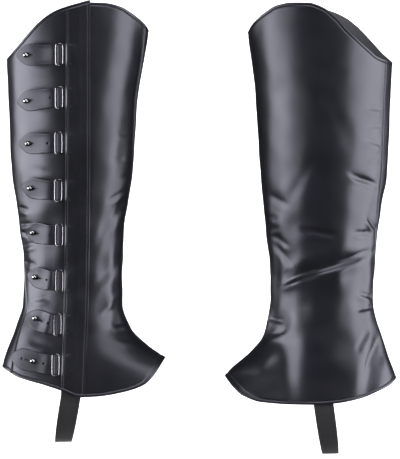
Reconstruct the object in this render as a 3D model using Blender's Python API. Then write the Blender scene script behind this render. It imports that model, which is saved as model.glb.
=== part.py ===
"""A pair of knee-high boot covers in faux leather, with buckled tabs down one side and a stirrup.

Each cover is a hollow leg tube with a flared foot. It is cut as an inner panel, a back panel and
a front panel. A placket covers the opening, where the front panel laps over the back panel.
Eight tabs are sewn under the placket. Each is threaded through a metal slide and buttoned on a
stud in the back panel. An elastic stirrup joins the two sides under the foot.

Sizes are in millimetres until a mesh is made. In a cover's own frame +X points to the toe, -Y to
the buckled side and +Z up, and heights are measured from the lowest point of the hem.
"""

from collections import namedtuple
import math

import bmesh
import bpy
import numpy as np
from mathutils import Vector

MM = 0.001

# Cloth and clearances
WALL = 1.2
GAP = 0.3
SEAM_GAP = 0.3
LEG_AXIS = -3.0

# Where the pair stands: the origin is midway between the legs, at the height where calves hold them
LEG_SPACING = 284.0
HOLD_HEIGHT = 345.0
RIGHT_LOWER = 8.0
RIGHT_TALLER = 7.0

# Closure
PLACKET_WIDTH = 27.5
TAB_TUCK = 10.0
FRONT_PANEL_TUCK = 12.0
BACK_PANEL_TUCK = 20.0
LAP_RAMP_ANGLE = 50.0

# Tabs, slides and studs
TAB_ROOT_WIDTH = 22.4
TAB_SHOULDER_WIDTH = 24.6
TAB_POINT_LENGTH = 19.0
TAB_POINT_END = 0.12
TAB_BEYOND_HOLE = 14.5
HOLE_SPACING = 15.0
STUD_HOLE_RADIUS = 2.2
TAB_LIFT = 0.4
TAB_ROOM = 0.4
TAB_TURN_START = 3.8
TAB_TURN_LENGTH = 6.0
SLIDE_LENGTH = 9.0
SLIDE_HEIGHT = 26.0
SLIDE_BAR = 1.0
SLIDE_THICKNESS = 0.8
SLIDE_CORNER = 0.8
SLIDE_LEVEL = TAB_LIFT + WALL + GAP
RISE_START = 1.7
RISE_END = 0.8
STUD_SIDES = 8

# Stirrup
STIRRUP_WIDTH = 22.0
STIRRUP_THICKNESS = 1.5
STIRRUP_TUCK = 14.0
STIRRUP_CLEARANCE = 1.1
STIRRUP_TWIST = math.radians(28)
STIRRUP_BEND_POINTS = 15

# How far a stirrup drops below the hem, and where its middle is at the hem and at its lowest
Stirrup = namedtuple("Stirrup", "drop top_x bottom_x")
# A side view's outline at a height: how far the heel side and the toe side reach from the leg's line
Station = namedtuple("Station", "height rear front")
# A cut edge seen from the side
HemPoint = namedtuple("HemPoint", "x height")
TopPoint = namedtuple("TopPoint", "x outer inner")
Depth = namedtuple("Depth", "height half_depth front_pinch")
# Seam places, as a fraction of the way from hem to top, in degrees round from toe and from heel
Seam = namedtuple("Seam", "fraction front rear")
PlacketPoint = namedtuple("PlacketPoint", "height x")
# One tab: its slide's and its stud's place, how far it bows out, and how many holes lie beyond the stud
Tab = namedtuple("Tab", "slide_x slide_height stud_x stud_height bow holes_beyond")
# A soft fold: its middle, half length, half width, turn in degrees and depth (negative is a trough)
Fold = namedtuple("Fold", "side x height length width turn depth")

LEFT_OUTLINE = [
    Station(0, -94.6, 169.3),
    Station(36, -85.3, 123.3),
    Station(46, -82.6, 105.1),
    Station(61, -77.2, 82.5),
    Station(80, -70.2, 63.9),
    Station(108, -60.9, 54.7),
    Station(145, -59.8, 53.9),
    Station(201, -65.6, 57),
    Station(265, -74.8, 66.3),
    Station(340, -78.3, 70.9),
    Station(405, -81.1, 81.3),
    Station(430, -82.1, 84.6),
    Station(470, -83.1, 85.8),
]
RIGHT_OUTLINE = [
    Station(0, -97.4, 158.2),
    Station(32, -87.2, 112.7),
    Station(42, -83.8, 103.4),
    Station(60, -76.8, 82.6),
    Station(79, -71, 67.5),
    Station(98, -65.2, 61.7),
    Station(125, -60.6, 58.2),
    Station(162, -62.9, 59.4),
    Station(227, -69.6, 66.3),
    Station(265, -76.8, 69.8),
    Station(311, -79.1, 73.3),
    Station(367, -81.4, 76.8),
    Station(431, -84.4, 84.7),
    Station(475, -85.4, 86.2),
]
LEFT_HEM = [
    HemPoint(-84.7, 34.8),
    HemPoint(-67, 24),
    HemPoint(-36, 14.8),
    HemPoint(-17.6, 8.8),
    HemPoint(5.8, 0.7),
    HemPoint(25, 1.5),
    HemPoint(58, 7.2),
    HemPoint(80, 15.3),
    HemPoint(90, 25),
    HemPoint(103.8, 46.1),
]
RIGHT_HEM = [
    HemPoint(-86.4, 29),
    HemPoint(-80.7, 23.2),
    HemPoint(-65, 15.1),
    HemPoint(-47, 7.8),
    HemPoint(-14.6, 1.5),
    HemPoint(8, 0.1),
    HemPoint(68, 3),
    HemPoint(92, 11),
    HemPoint(103, 21.2),
    HemPoint(111.9, 33),
]
LEFT_STIRRUP = Stirrup(51.5, -5.5, -14.5)
RIGHT_STIRRUP = Stirrup(57, -3, -11)
TOP_EDGE = [
    TopPoint(-85, 387.5, 387.5),
    TopPoint(-74, 398.5, 392),
    TopPoint(-65, 408.5, 395.5),
    TopPoint(-56, 419, 402.6),
    TopPoint(-43, 432.5, 413.8),
    TopPoint(-29, 443.2, 426.5),
    TopPoint(-16, 449.3, 440.5),
    TopPoint(0, 453.8, 452),
    TopPoint(16, 456, 456.8),
    TopPoint(34, 455.5, 457),
    TopPoint(52, 451.5, 454),
    TopPoint(64, 444.5, 447),
    TopPoint(74, 437, 439),
    TopPoint(82, 429.5, 430.5),
    TopPoint(86, 422, 422),
]
DEPTHS = [
    Depth(0, 50, 0.5),
    Depth(40, 47, 0.5),
    Depth(80, 41.5, 0.45),
    Depth(110, 38.5, 0.4),
    Depth(145, 38, 0.35),
    Depth(200, 42, 0.32),
    Depth(265, 49, 0.3),
    Depth(340, 54, 0.3),
    Depth(400, 57, 0.3),
    Depth(470, 59, 0.3),
]
REAR_PINCH = 0.18
SEAMS = [
    Seam(0, 0, -33),
    Seam(0.08, 0, -28),
    Seam(0.21, 1, -20),
    Seam(0.37, 3, 2),
    Seam(0.5, 5, 18),
    Seam(0.68, 11, 26),
    Seam(0.9, 15, 26),
    Seam(1, 19, 26),
]
PLACKET_EDGE = [
    PlacketPoint(0, -16.5),
    PlacketPoint(110, -13),
    PlacketPoint(200, -11.5),
    PlacketPoint(300, -10.8),
    PlacketPoint(460, -10.4),
]
TABS = [
    Tab(-18.1, 396, -55.7, 395.8, 0.6, 0),
    Tab(-18.3, 346.3, -55.2, 342.8, 0.6, 0),
    Tab(-19, 293.9, -53.6, 293.7, 0.8, 0),
    Tab(-19.3, 239.4, -50.6, 242.4, 1.2, 0),
    Tab(-18.3, 187.9, -48, 190.9, 2.6, 0),
    Tab(-18.2, 134.6, -45.2, 139.2, 4.5, 0),
    Tab(-20.2, 84.1, -45.7, 90.5, 4.5, 0),
    Tab(-22.5, 37.9, -48.8, 42, 2, 1),
]
FOLDS = [
    Fold("inner", -4, 160, 52, 8, -16, -3.6),
    Fold("inner", 0, 148, 46, 8, -16, 2.4),
    Fold("inner", -48, 259, 15, 8, -28, -3.2),
    Fold("inner", -52, 197, 14, 8, -40, -3),
    Fold("inner", 53, 237, 15, 9, 26, -3),
    Fold("inner", 46, 205, 30, 9, 64, 2.6),
    Fold("inner", 46, 98, 14, 8, 15, -2.6),
    Fold("inner", 44, 80, 16, 8, -15, 2),
    Fold("inner", -46, 112, 15, 9, 55, -2.6),
    Fold("outer", 52, 224, 28, 10, 60, -3.2),
    Fold("outer", 57, 290, 30, 8, 84, -2.2),
    Fold("outer", 40, 107, 15, 9, 35, 2.6),
    Fold("outer", 49, 80, 11, 10, 20, -3),
    Fold("outer", 33, 168, 20, 10, 60, -2),
]

# Fractions of the way from hem to top where a panel has a row of points: closest round the ankle
ROW_FRACTIONS = np.concatenate([
    np.linspace(0, 0.16, 5)[:-1],
    np.linspace(0.16, 0.52, 14)[:-1],
    np.linspace(0.52, 1, 9),
])
INNER_COLUMNS = 18
BACK_COLUMNS = 6
FRONT_COLUMNS = 6
EDGE_STEPS = 30
WALK_STEPS = 16
LOWEST_HEM_SEARCH = -10.0
HIGHEST_HEM_SEARCH = 90.0
LOWEST_TOP_SEARCH = 360.0
HIGHEST_TOP_SEARCH = 490.0
SLOPE_STEP = 0.01


def smooth_curve(places, values):
    """A curve through the points that never overshoots them and runs on straight past its ends."""
    xs = np.array(places, float)
    ys = np.array(values, float)
    steps = np.diff(xs)
    slopes = np.diff(ys) / steps
    tangents = np.zeros_like(ys)
    tangents[0] = slopes[0]
    tangents[-1] = slopes[-1]
    product = slopes[:-1] * slopes[1:]
    total = slopes[:-1] + slopes[1:]
    rising = product > 0
    tangents[1:-1][rising] = 2 * product[rising] / total[rising]

    def at(x):
        x = np.asarray(x, float)
        inside = np.clip(x, xs[0], xs[-1])
        k = np.clip(np.searchsorted(xs, inside) - 1, 0, len(steps) - 1)
        t = (inside - xs[k]) / steps[k]
        value = (
            ys[k] * (1 + 2 * t) * (1 - t) ** 2
            + ys[k + 1] * t * t * (3 - 2 * t)
            + steps[k] * t * (1 - t) * (tangents[k] * (1 - t) - tangents[k + 1] * t)
        )
        past_end = np.where(x < xs[0], tangents[0], tangents[-1])
        return value + past_end * (x - inside)

    return at


def column_curve(rows, place, column):
    """The smooth curve of one named column of a table over another."""
    return smooth_curve([getattr(r, place) for r in rows], [getattr(r, column) for r in rows])


def ease(t):
    """0 to 1, level at both ends."""
    t = np.clip(t, 0, 1)
    return t * t * (3 - 2 * t)


half_depth = column_curve(DEPTHS, "height", "half_depth")
front_pinch = column_curve(DEPTHS, "height", "front_pinch")
top_outer = column_curve(TOP_EDGE, "x", "outer")
top_inner = column_curve(TOP_EDGE, "x", "inner")
seam_front = column_curve(SEAMS, "fraction", "front")
seam_rear = column_curve(SEAMS, "fraction", "rear")
placket_x = column_curve(PLACKET_EDGE, "height", "x")


class Cover:
    """One cover's surface. An angle of 0 is the toe side, 90 degrees the buckled side, 180 the heel."""

    def __init__(self, name, outline, hem, taller, stirrup, stand, turn):
        self.name = name
        self.rear = column_curve(outline, "height", "rear")
        self.front = column_curve(outline, "height", "front")
        self.hem = column_curve(hem, "x", "height")
        self.taller = taller
        self.stirrup = stirrup
        self.stand = stand
        self.turn = turn

    def reach(self, angle, height):
        """The distance from the leg's line to the heel or toe side, whichever the angle is nearer."""
        toe_side = np.cos(angle) > 0
        return np.where(toe_side, self.front(height) - LEG_AXIS, LEG_AXIS - self.rear(height))

    def x_at(self, angle, height):
        return LEG_AXIS + self.reach(angle, height) * np.cos(angle)

    def base(self, angle, height):
        """The outer face with no folds, as points along the last axis."""
        angle, height = np.broadcast_arrays(np.asarray(angle, float), np.asarray(height, float))
        across = np.abs(np.sin(angle))
        toward_toe = 0.5 + 0.5 * np.cos(angle)
        pinch = REAR_PINCH + (front_pinch(height) - REAR_PINCH) * toward_toe
        depth = half_depth(height) * ((1 - pinch) * across + pinch * across**2)
        return np.stack([self.x_at(angle, height), -np.sign(np.sin(angle)) * depth, height], -1)

    def normal(self, angle, height):
        """The outward direction of the face with no folds."""
        round_it = self.base(angle + SLOPE_STEP, height) - self.base(angle - SLOPE_STEP, height)
        upward = self.base(angle, height + SLOPE_STEP) - self.base(angle, height - SLOPE_STEP)
        outward = np.cross(upward, round_it)
        return outward / np.linalg.norm(outward, axis=-1, keepdims=True)

    def fold(self, angle, height):
        """How far the folds move the face outwards."""
        x = self.x_at(angle, height)
        across = np.sin(angle)
        moved = np.zeros(np.broadcast(angle, height).shape)
        for f in FOLDS:
            turn = math.radians(f.turn)
            along = (x - f.x) * math.cos(turn) + (height - f.height) * math.sin(turn)
            aside = (height - f.height) * math.cos(turn) - (x - f.x) * math.sin(turn)
            side = across if f.side == "outer" else -across
            fade = ease(side * 3)
            moved = moved + f.depth * fade * np.exp(-((along / f.length) ** 2) - (aside / f.width) ** 2)
        return moved

    def place(self, angle, height, lift=0.0):
        """The folded face's point, moved out by lift."""
        angle, height, lift = np.broadcast_arrays(angle, height, lift)
        outward = self.normal(angle, height) * (self.fold(angle, height) + lift)[..., None]
        return self.base(angle, height) + outward

    def edge_height(self, angle, edge, low, high):
        """The height at which the line up this angle crosses a cut edge drawn in the side view."""
        low = np.full(np.shape(angle), low)
        high = np.full(np.shape(angle), high)
        for _ in range(EDGE_STEPS):
            middle = (low + high) / 2
            above = middle > edge(angle, self.x_at(angle, middle))
            low = np.where(above, low, middle)
            high = np.where(above, middle, high)
        return (low + high) / 2

    def hem_height(self, angle):
        return self.edge_height(angle, lambda a, x: self.hem(x), LOWEST_HEM_SEARCH, HIGHEST_HEM_SEARCH)

    def top_height(self, angle):
        def edge(a, x):
            return np.where(np.sin(a) > 0, top_outer(x), top_inner(x)) + self.taller

        return self.edge_height(angle, edge, LOWEST_TOP_SEARCH, HIGHEST_TOP_SEARCH)

    def height(self, angle, fraction):
        """The height a given fraction of the way from hem to top."""
        bottom = self.hem_height(angle)
        return bottom + fraction * (self.top_height(angle) - bottom)

    def angle_of_x(self, x, height):
        """The angle on the buckled side of a point seen at x."""
        reach = np.where(x > LEG_AXIS, self.front(height) - LEG_AXIS, LEG_AXIS - self.rear(height))
        return np.arccos(np.clip((x - LEG_AXIS) / reach, -1, 1))

    def closure_angle(self, fraction, beyond):
        """The angle of a line down the closure, beyond the placket's heel-side edge by a distance."""
        angle = np.full(np.shape(fraction), math.pi / 2)
        for _ in range(6):
            height = self.height(angle, fraction)
            angle = self.angle_of_x(placket_x(height) + beyond, height)
        return angle

    def stand_off(self, angle, height, distance):
        """The change of angle that moves a point this far round the tube."""
        ahead = self.base(angle + SLOPE_STEP, height) - self.base(angle - SLOPE_STEP, height)
        return distance * 2 * SLOPE_STEP / np.linalg.norm(ahead, axis=-1)

    def beside(self, x, height, distance, rise, lift):
        """A point this far round the tube towards the heel, and this far up, from the place seen at x."""
        distance, rise, lift = np.broadcast_arrays(distance, rise, lift)
        angle = self.angle_of_x(x, height + rise)
        for _ in range(WALK_STEPS):
            angle = angle + self.stand_off(angle, height + rise, distance / WALK_STEPS)
        return self.place(angle, height + rise, lift)

    def on_tab(self, tab, along, across, lift):
        """A point of a tab laid on the tube: along runs round from its slide to its tip, across upwards."""
        straight = self.run(tab) - TAB_TURN_START - TAB_TURN_LENGTH / 2
        slope = (tab.stud_height - tab.slide_height) / straight
        turned = np.clip((along - TAB_TURN_START) / TAB_TURN_LENGTH, 0, 1)
        past_turn = np.clip(along - TAB_TURN_START - TAB_TURN_LENGTH, 0, None)
        climb = slope * (TAB_TURN_LENGTH * turned**2 / 2 + past_turn)
        tilt = np.arctan(slope * turned)
        distance = along - across * np.sin(tilt)
        return self.beside(tab.slide_x, tab.slide_height, distance, climb + across * np.cos(tilt), lift)

    def run(self, tab):
        """The distance round the tube from a tab's slide to its stud."""
        ends = self.angle_of_x(np.array([tab.slide_x, tab.stud_x]), tab.slide_height)
        points = self.base(np.linspace(ends[0], ends[1], WALK_STEPS), tab.slide_height)
        return float(np.linalg.norm(np.diff(points, axis=0), axis=1).sum())


def make_material(name, colour, roughness, metallic=0.0):
    material = bpy.data.materials.new(name)
    material.use_nodes = True
    shader = material.node_tree.nodes["Principled BSDF"]
    shader.inputs["Base Color"].default_value = (*colour, 1.0)
    shader.inputs["Roughness"].default_value = roughness
    shader.inputs["Metallic"].default_value = metallic
    return material


def add_object(name, points, faces, material, parent):
    """A closed mesh from points in millimetres, shaded smooth but for its real edges."""
    mesh = bpy.data.meshes.new(name)
    mesh.from_pydata((np.asarray(points) * MM).tolist(), [], faces)
    work = bmesh.new()
    work.from_mesh(mesh)
    bmesh.ops.recalc_face_normals(work, faces=work.faces)
    work.to_mesh(mesh)
    work.free()
    mesh.materials.append(material)
    mesh.shade_smooth()
    mesh.set_sharp_from_angle(angle=math.radians(40))
    obj = bpy.data.objects.new(name, mesh)
    obj.parent = parent
    bpy.context.scene.collection.objects.link(obj)
    return obj


def sheet_solid(name, outer, inner, material, parent):
    """A wall between two grids of points, closed round its border."""
    rows, columns = outer.shape[:2]
    points = np.concatenate([outer.reshape(-1, 3), inner.reshape(-1, 3)])
    back = rows * columns

    def at(i, j):
        return i * columns + j

    faces = []
    for i in range(rows - 1):
        for j in range(columns - 1):
            quad = (at(i, j), at(i + 1, j), at(i + 1, j + 1), at(i, j + 1))
            faces.append(quad)
            faces.append(tuple(back + quad[k] for k in (0, 3, 2, 1)))
    rim = [at(0, j) for j in range(columns)]
    rim += [at(i, columns - 1) for i in range(1, rows)]
    rim += [at(rows - 1, j) for j in range(columns - 2, -1, -1)]
    rim += [at(i, 0) for i in range(rows - 2, 0, -1)]
    for here, there in zip(rim, rim[1:] + rim[:1]):
        faces.append((here, there, back + there, back + here))
    return add_object(name, points, faces, material, parent)


def spread(lines, steps):
    """Lines down a panel, with even steps from each to the next, as one grid of angles."""
    columns = [lines[0]]
    for before, after, count in zip(lines, lines[1:], steps):
        columns += [before + (after - before) * k / count for k in range(1, count + 1)]
    return np.stack(columns, 1)


def make_panel(cover, piece, angle, raised, finishes, parent):
    """One cut of cloth over a grid of angles. raised is how far its outer face stands out."""
    height = cover.height(angle, ROW_FRACTIONS[:, None])
    outer = cover.place(angle, height, raised)
    inner = cover.place(angle, height, raised - WALL)
    return sheet_solid(f"{cover.name}_{piece}", outer, inner, finishes["leather"], parent)


def make_panels(cover, finishes, parent):
    """The inner, back and front panels and the placket. Where they lap they share their lines."""
    front_seam = np.radians(seam_front(ROW_FRACTIONS))
    rear_seam = math.pi + np.radians(seam_rear(ROW_FRACTIONS))
    front_gap = cover.stand_off(front_seam, cover.height(front_seam, ROW_FRACTIONS), SEAM_GAP / 2)
    rear_gap = cover.stand_off(rear_seam, cover.height(rear_seam, ROW_FRACTIONS), SEAM_GAP / 2)
    back_edge = cover.closure_angle(ROW_FRACTIONS, BACK_PANEL_TUCK)
    front_edge = cover.closure_angle(ROW_FRACTIONS, FRONT_PANEL_TUCK)
    placket_heel = cover.closure_angle(ROW_FRACTIONS, 0)
    placket_toe = cover.closure_angle(ROW_FRACTIONS, PLACKET_WIDTH)
    lap = WALL + GAP

    def lapped(angle):
        start = placket_toe[:, None] - math.radians(LAP_RAMP_ANGLE)
        return lap * ease((angle - start) / (back_edge[:, None] - start))

    inner = spread([rear_seam + rear_gap, 2 * math.pi + front_seam - front_gap], [INNER_COLUMNS])
    back = spread([back_edge, front_edge, placket_heel, rear_seam - rear_gap], [1, 1, BACK_COLUMNS])
    front = spread([front_seam + front_gap, placket_toe, back_edge, front_edge], [FRONT_COLUMNS, 1, 1])
    placket = spread([placket_toe, back_edge, front_edge, placket_heel], [1, 1, 1])
    over_roots = np.where(placket >= front_edge[:, None], TAB_ROOM, 0)
    make_panel(cover, "inner_panel", inner, 0 * inner, finishes, parent)
    make_panel(cover, "back_panel", back, 0 * back, finishes, parent)
    make_panel(cover, "front_panel", front, lapped(front), finishes, parent)
    make_panel(cover, "placket", placket, lapped(placket) + lap + over_roots, finishes, parent)


def tab_half_width(from_tip):
    """Half a tab's width at a distance from its tip: a blunt point, a shoulder, then a slight taper."""
    share = np.clip(1 - from_tip / TAB_POINT_LENGTH, 0, 1 - TAB_POINT_END)
    taper = ease((from_tip - TAB_POINT_LENGTH) / TAB_POINT_LENGTH)
    full = TAB_SHOULDER_WIDTH + (TAB_ROOT_WIDTH - TAB_SHOULDER_WIDTH) * taper
    return full / 2 * (1 - share**2)


def tab_stations(cover, tab):
    """Distances along a tab from its root to its tip, and how high its underside is at each.

    The tab lies on the back panel, dips under the slide's two outer bars and rises over the middle one.
    """
    run = cover.run(tab)
    tip = run + TAB_BEYOND_HOLE + tab.holes_beyond * HOLE_SPACING
    root = placket_x(tab.slide_height) - tab.slide_x + TAB_TUCK
    over_bar = SLIDE_LEVEL + SLIDE_THICKNESS + GAP
    bow_start = SLIDE_LENGTH / 2 + 1
    bow_end = run - STUD_HOLE_RADIUS - 2
    along = [-root, -RISE_START, -RISE_END, RISE_END, RISE_START]
    under = [TAB_LIFT, TAB_LIFT, over_bar, over_bar, TAB_LIFT]
    for share in (0, 0.3, 0.5, 0.7, 1):
        along.append(bow_start + (bow_end - bow_start) * share)
        under.append(TAB_LIFT + tab.bow * math.sin(math.pi * share) ** 2)
    shoulder = tip - TAB_POINT_LENGTH
    ends = [tip - TAB_POINT_LENGTH * share for share in (0.62, 0.34, 0.14, 0)]
    if shoulder > bow_end + 2:
        ends.insert(0, shoulder)
    along += ends
    under += [TAB_LIFT] * len(ends)
    return np.array(along), np.array(under), tip


def miter_offsets(along, level, thickness):
    """The second face of a bent strip, a thickness above the first, with its corners mitred."""
    steps = np.stack([np.diff(along), np.diff(level)], 1)
    steps = steps / np.linalg.norm(steps, axis=1, keepdims=True)
    sides = np.stack([-steps[:, 1], steps[:, 0]], 1)
    sides = np.concatenate([sides[:1], sides, sides[-1:]])
    mean = sides[:-1] + sides[1:]
    mean = mean / np.linalg.norm(mean, axis=1, keepdims=True)
    reach = thickness / (mean * sides[1:]).sum(1)
    return along + mean[:, 0] * reach, level + mean[:, 1] * reach


def make_tab(cover, tab, name, finishes, parent):
    """A tab with a blunt point, threaded through its slide, with a round hole for the stud."""
    along, under, tip = tab_stations(cover, tab)
    upper_along, upper_level = miter_offsets(along, under, WALL)
    upper_along[[0, -1]] = along[[0, -1]]
    share = np.linspace(-1, 1, 3)[:, None]
    half_width = tab_half_width(tip - along)[None, :]
    lower = cover.on_tab(tab, along[None, :] + 0 * share, half_width * share, under[None, :])
    upper = cover.on_tab(tab, upper_along[None, :] + 0 * share, half_width * share, upper_level[None, :])
    piece = sheet_solid(name, upper, lower, finishes["leather"], parent)

    cutter = add_turned(f"{name}_hole", cover, tab, cover.run(tab),
                        [(STUD_HOLE_RADIUS, -2), (STUD_HOLE_RADIUS, 6)], finishes["metal"], parent)
    cutter.hide_render = True
    cutter.display_type = "WIRE"
    cut = piece.modifiers.new("stud hole", "BOOLEAN")
    cut.object = cutter
    cut.operation = "DIFFERENCE"
    cut.solver = "EXACT"
    return piece


def add_turned(name, cover, tab, along, profile, material, parent):
    """A round piece that stands on the back panel, from pairs of radius and level."""
    foot = cover.on_tab(tab, np.array(along), np.array(0.0), np.array(0.0))
    ahead = cover.on_tab(tab, np.array(along + 1), np.array(0.0), np.array(0.0)) - foot
    aside = cover.on_tab(tab, np.array(along), np.array(1.0), np.array(0.0)) - foot
    ahead = ahead / np.linalg.norm(ahead)
    outward = np.cross(aside, ahead)
    outward = outward / np.linalg.norm(outward)
    if outward[1] > 0:
        outward = -outward
    aside = np.cross(outward, ahead)
    points = []
    for radius, level in profile:
        for k in range(STUD_SIDES):
            turn = 2 * math.pi * k / STUD_SIDES
            round_it = ahead * math.cos(turn) + aside * math.sin(turn)
            points.append(foot + radius * round_it + level * outward)
    faces = []
    for ring in range(len(profile) - 1):
        for k in range(STUD_SIDES):
            here = ring * STUD_SIDES
            after = (k + 1) % STUD_SIDES
            faces.append((here + k, here + after, here + STUD_SIDES + after, here + STUD_SIDES + k))
    faces.append(tuple(range(STUD_SIDES - 1, -1, -1)))
    last = (len(profile) - 1) * STUD_SIDES
    faces.append(tuple(range(last, last + STUD_SIDES)))
    return add_object(name, points, faces, material, parent)


def make_stud(cover, tab, name, finishes, parent):
    """A ball-headed stud: a neck through the tab's hole and a round head over it."""
    profile = [(1.5, GAP), (1.5, 2.3), (3.0, 3.2), (3.4, 4.7), (2.6, 6.5), (1.0, 7.4)]
    return add_turned(name, cover, tab, cover.run(tab), profile, finishes["metal"], parent)


def make_slide(cover, tab, name, finishes, parent):
    """A flat three-bar slide: one plate with two windows, bent to the tube under it."""
    outer_x = SLIDE_LENGTH / 2
    outer_z = SLIDE_HEIGHT / 2
    lines_x = [-outer_x, -outer_x + SLIDE_BAR, -SLIDE_BAR / 2, SLIDE_BAR / 2, outer_x - SLIDE_BAR, outer_x]
    lines_z = [-outer_z, -outer_z + SLIDE_BAR, 0, outer_z - SLIDE_BAR, outer_z]
    columns, rows = len(lines_x), len(lines_z)
    low, high = [], []
    for z in lines_z:
        for x in lines_x:
            corner = abs(x) == outer_x and abs(z) == outer_z
            inset = SLIDE_CORNER if corner else 0
            at_x = x - math.copysign(inset, x)
            at_z = z - math.copysign(inset, z)
            place = (tab.slide_x, tab.slide_height, at_x, at_z)
            low.append(cover.beside(*place, SLIDE_LEVEL))
            high.append(cover.beside(*place, SLIDE_LEVEL + SLIDE_THICKNESS))
    back = len(low)
    windows = {(i, j) for i in range(1, rows - 2) for j in (1, 3)}
    cells = {(i, j) for i in range(rows - 1) for j in range(columns - 1)} - windows
    faces = []
    edges = {}
    for i, j in sorted(cells):
        quad = [i * columns + j, (i + 1) * columns + j, (i + 1) * columns + j + 1, i * columns + j + 1]
        faces.append(tuple(quad))
        faces.append(tuple(back + quad[k] for k in (0, 3, 2, 1)))
        for a, b in zip(quad, quad[1:] + quad[:1]):
            edges[frozenset((a, b))] = edges.get(frozenset((a, b)), 0) + 1
    for edge, count in edges.items():
        if count == 1:
            a, b = sorted(edge)
            faces.append((a, b, back + b, back + a))
    return add_object(name, np.array(low + high), faces, finishes["metal"], parent)


def stirrup_line(cover):
    """The strap's middle line: up inside the buckled side, down round under the foot, up the other side.

    Returns points, width directions and the directions in which it is thick.
    """
    points, widths = [], []
    seated = -WALL - STIRRUP_CLEARANCE - STIRRUP_THICKNESS / 2
    hems = []
    for side in (1, -1):
        angle = side * float(cover.angle_of_x(cover.stirrup.top_x, 20.0))
        hem = float(cover.hem_height(np.array(angle)))
        rows = [cover.place(angle, hem + up, seated) for up in (STIRRUP_TUCK, STIRRUP_TUCK / 2, 0.0)]
        hems.append(rows)
    start, end = hems[0][-1], hems[1][-1]
    for row in hems[0][:-1]:
        points.append(row)
        widths.append((1, 0, 0))
    lowest = -cover.stirrup.drop
    for turn in np.linspace(0, math.pi, STIRRUP_BEND_POINTS):
        share = 0.5 - 0.5 * math.cos(turn)
        top = start * (1 - share) + end * share
        dip = math.sin(turn)
        x = top[0] + (cover.stirrup.bottom_x - cover.stirrup.top_x) * dip
        points.append(np.array([x, top[1], top[2] + (lowest - top[2]) * dip]))
        twist = STIRRUP_TWIST * dip**2
        widths.append((math.cos(twist), math.sin(twist), 0))
    for row in reversed(hems[1][:-1]):
        points.append(row)
        widths.append((1, 0, 0))
    return np.array(points), np.array(widths, float)


def make_stirrup(cover, finishes, parent):
    """The elastic strap under the foot."""
    points, widths = stirrup_line(cover)
    ahead = np.gradient(points, axis=0)
    thick = np.cross(widths, ahead)
    thick = thick / np.linalg.norm(thick, axis=1, keepdims=True)
    half = widths * STIRRUP_WIDTH / 2
    layers = []
    for side in (0.5, -0.5):
        middle = points + thick * STIRRUP_THICKNESS * side
        layers.append(np.stack([middle - half, middle, middle + half], 1))
    return sheet_solid(f"{cover.name}_stirrup", layers[0], layers[1], finishes["elastic"], parent)


def make_cover(cover, finishes):
    """All the pieces of one cover, parented to an empty that sets it down in the pair."""
    place = bpy.data.objects.new(f"{cover.name}_cover_place", None)
    place.location = Vector(cover.stand) * MM
    place.rotation_euler = (0, 0, cover.turn)
    bpy.context.scene.collection.objects.link(place)
    make_panels(cover, finishes, place)
    make_stirrup(cover, finishes, place)
    for number, tab in enumerate(TABS, 1):
        make_tab(cover, tab, f"{cover.name}_tab_{number}", finishes, place)
        make_slide(cover, tab, f"{cover.name}_slide_{number}", finishes, place)
        make_stud(cover, tab, f"{cover.name}_stud_{number}", finishes, place)


def main():
    for obj in list(bpy.data.objects):
        bpy.data.objects.remove(obj, do_unlink=True)
    finishes = {
        "leather": make_material("black faux leather", (0.022, 0.023, 0.028), 0.34),
        "elastic": make_material("black elastic webbing", (0.018, 0.017, 0.02), 0.85),
        "metal": make_material("nickel plate", (0.62, 0.61, 0.6), 0.22, 1.0),
    }
    left_stand = (-LEG_SPACING / 2, 0, -HOLD_HEIGHT)
    right_stand = (LEG_SPACING / 2, 0, -HOLD_HEIGHT - RIGHT_LOWER)
    left = Cover("left", LEFT_OUTLINE, LEFT_HEM, 0, LEFT_STIRRUP, left_stand, 0)
    right = Cover("right", RIGHT_OUTLINE, RIGHT_HEM, RIGHT_TALLER, RIGHT_STIRRUP, right_stand, math.pi)
    make_cover(left, finishes)
    make_cover(right, finishes)


main()
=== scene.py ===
# %% [markdown]
# # A pair of leather boot covers
# This lesson dresses the plain solids of a pair of knee-high boot covers: black faux leather tubes
# with a flared foot, a row of buckled tabs, metal slides, ball studs and an elastic stirrup.
# The solids give every place and size, so each visible piece is made where its solid stands.

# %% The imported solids
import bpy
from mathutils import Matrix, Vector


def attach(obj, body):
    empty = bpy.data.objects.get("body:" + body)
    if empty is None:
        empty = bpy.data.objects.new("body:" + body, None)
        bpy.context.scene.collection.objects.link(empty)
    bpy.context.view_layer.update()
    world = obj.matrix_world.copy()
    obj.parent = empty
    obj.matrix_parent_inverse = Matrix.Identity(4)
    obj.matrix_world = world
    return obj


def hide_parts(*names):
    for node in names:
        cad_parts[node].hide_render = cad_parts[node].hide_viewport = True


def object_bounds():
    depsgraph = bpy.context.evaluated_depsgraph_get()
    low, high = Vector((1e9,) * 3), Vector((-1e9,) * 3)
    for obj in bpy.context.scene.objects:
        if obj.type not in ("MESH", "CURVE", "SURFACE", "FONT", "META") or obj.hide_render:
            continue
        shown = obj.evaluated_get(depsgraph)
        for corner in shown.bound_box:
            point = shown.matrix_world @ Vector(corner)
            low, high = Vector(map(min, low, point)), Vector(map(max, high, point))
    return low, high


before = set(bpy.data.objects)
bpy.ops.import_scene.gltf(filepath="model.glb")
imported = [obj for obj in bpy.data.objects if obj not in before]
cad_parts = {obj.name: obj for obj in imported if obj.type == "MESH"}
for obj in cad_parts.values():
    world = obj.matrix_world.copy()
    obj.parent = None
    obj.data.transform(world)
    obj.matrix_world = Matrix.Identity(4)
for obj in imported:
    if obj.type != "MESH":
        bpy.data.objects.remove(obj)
cad_box = [list(corner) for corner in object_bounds()]

import math
from collections import namedtuple

import bpy
import numpy as np
from mathutils import Vector
from mathutils.geometry import delaunay_2d_cdt

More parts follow.
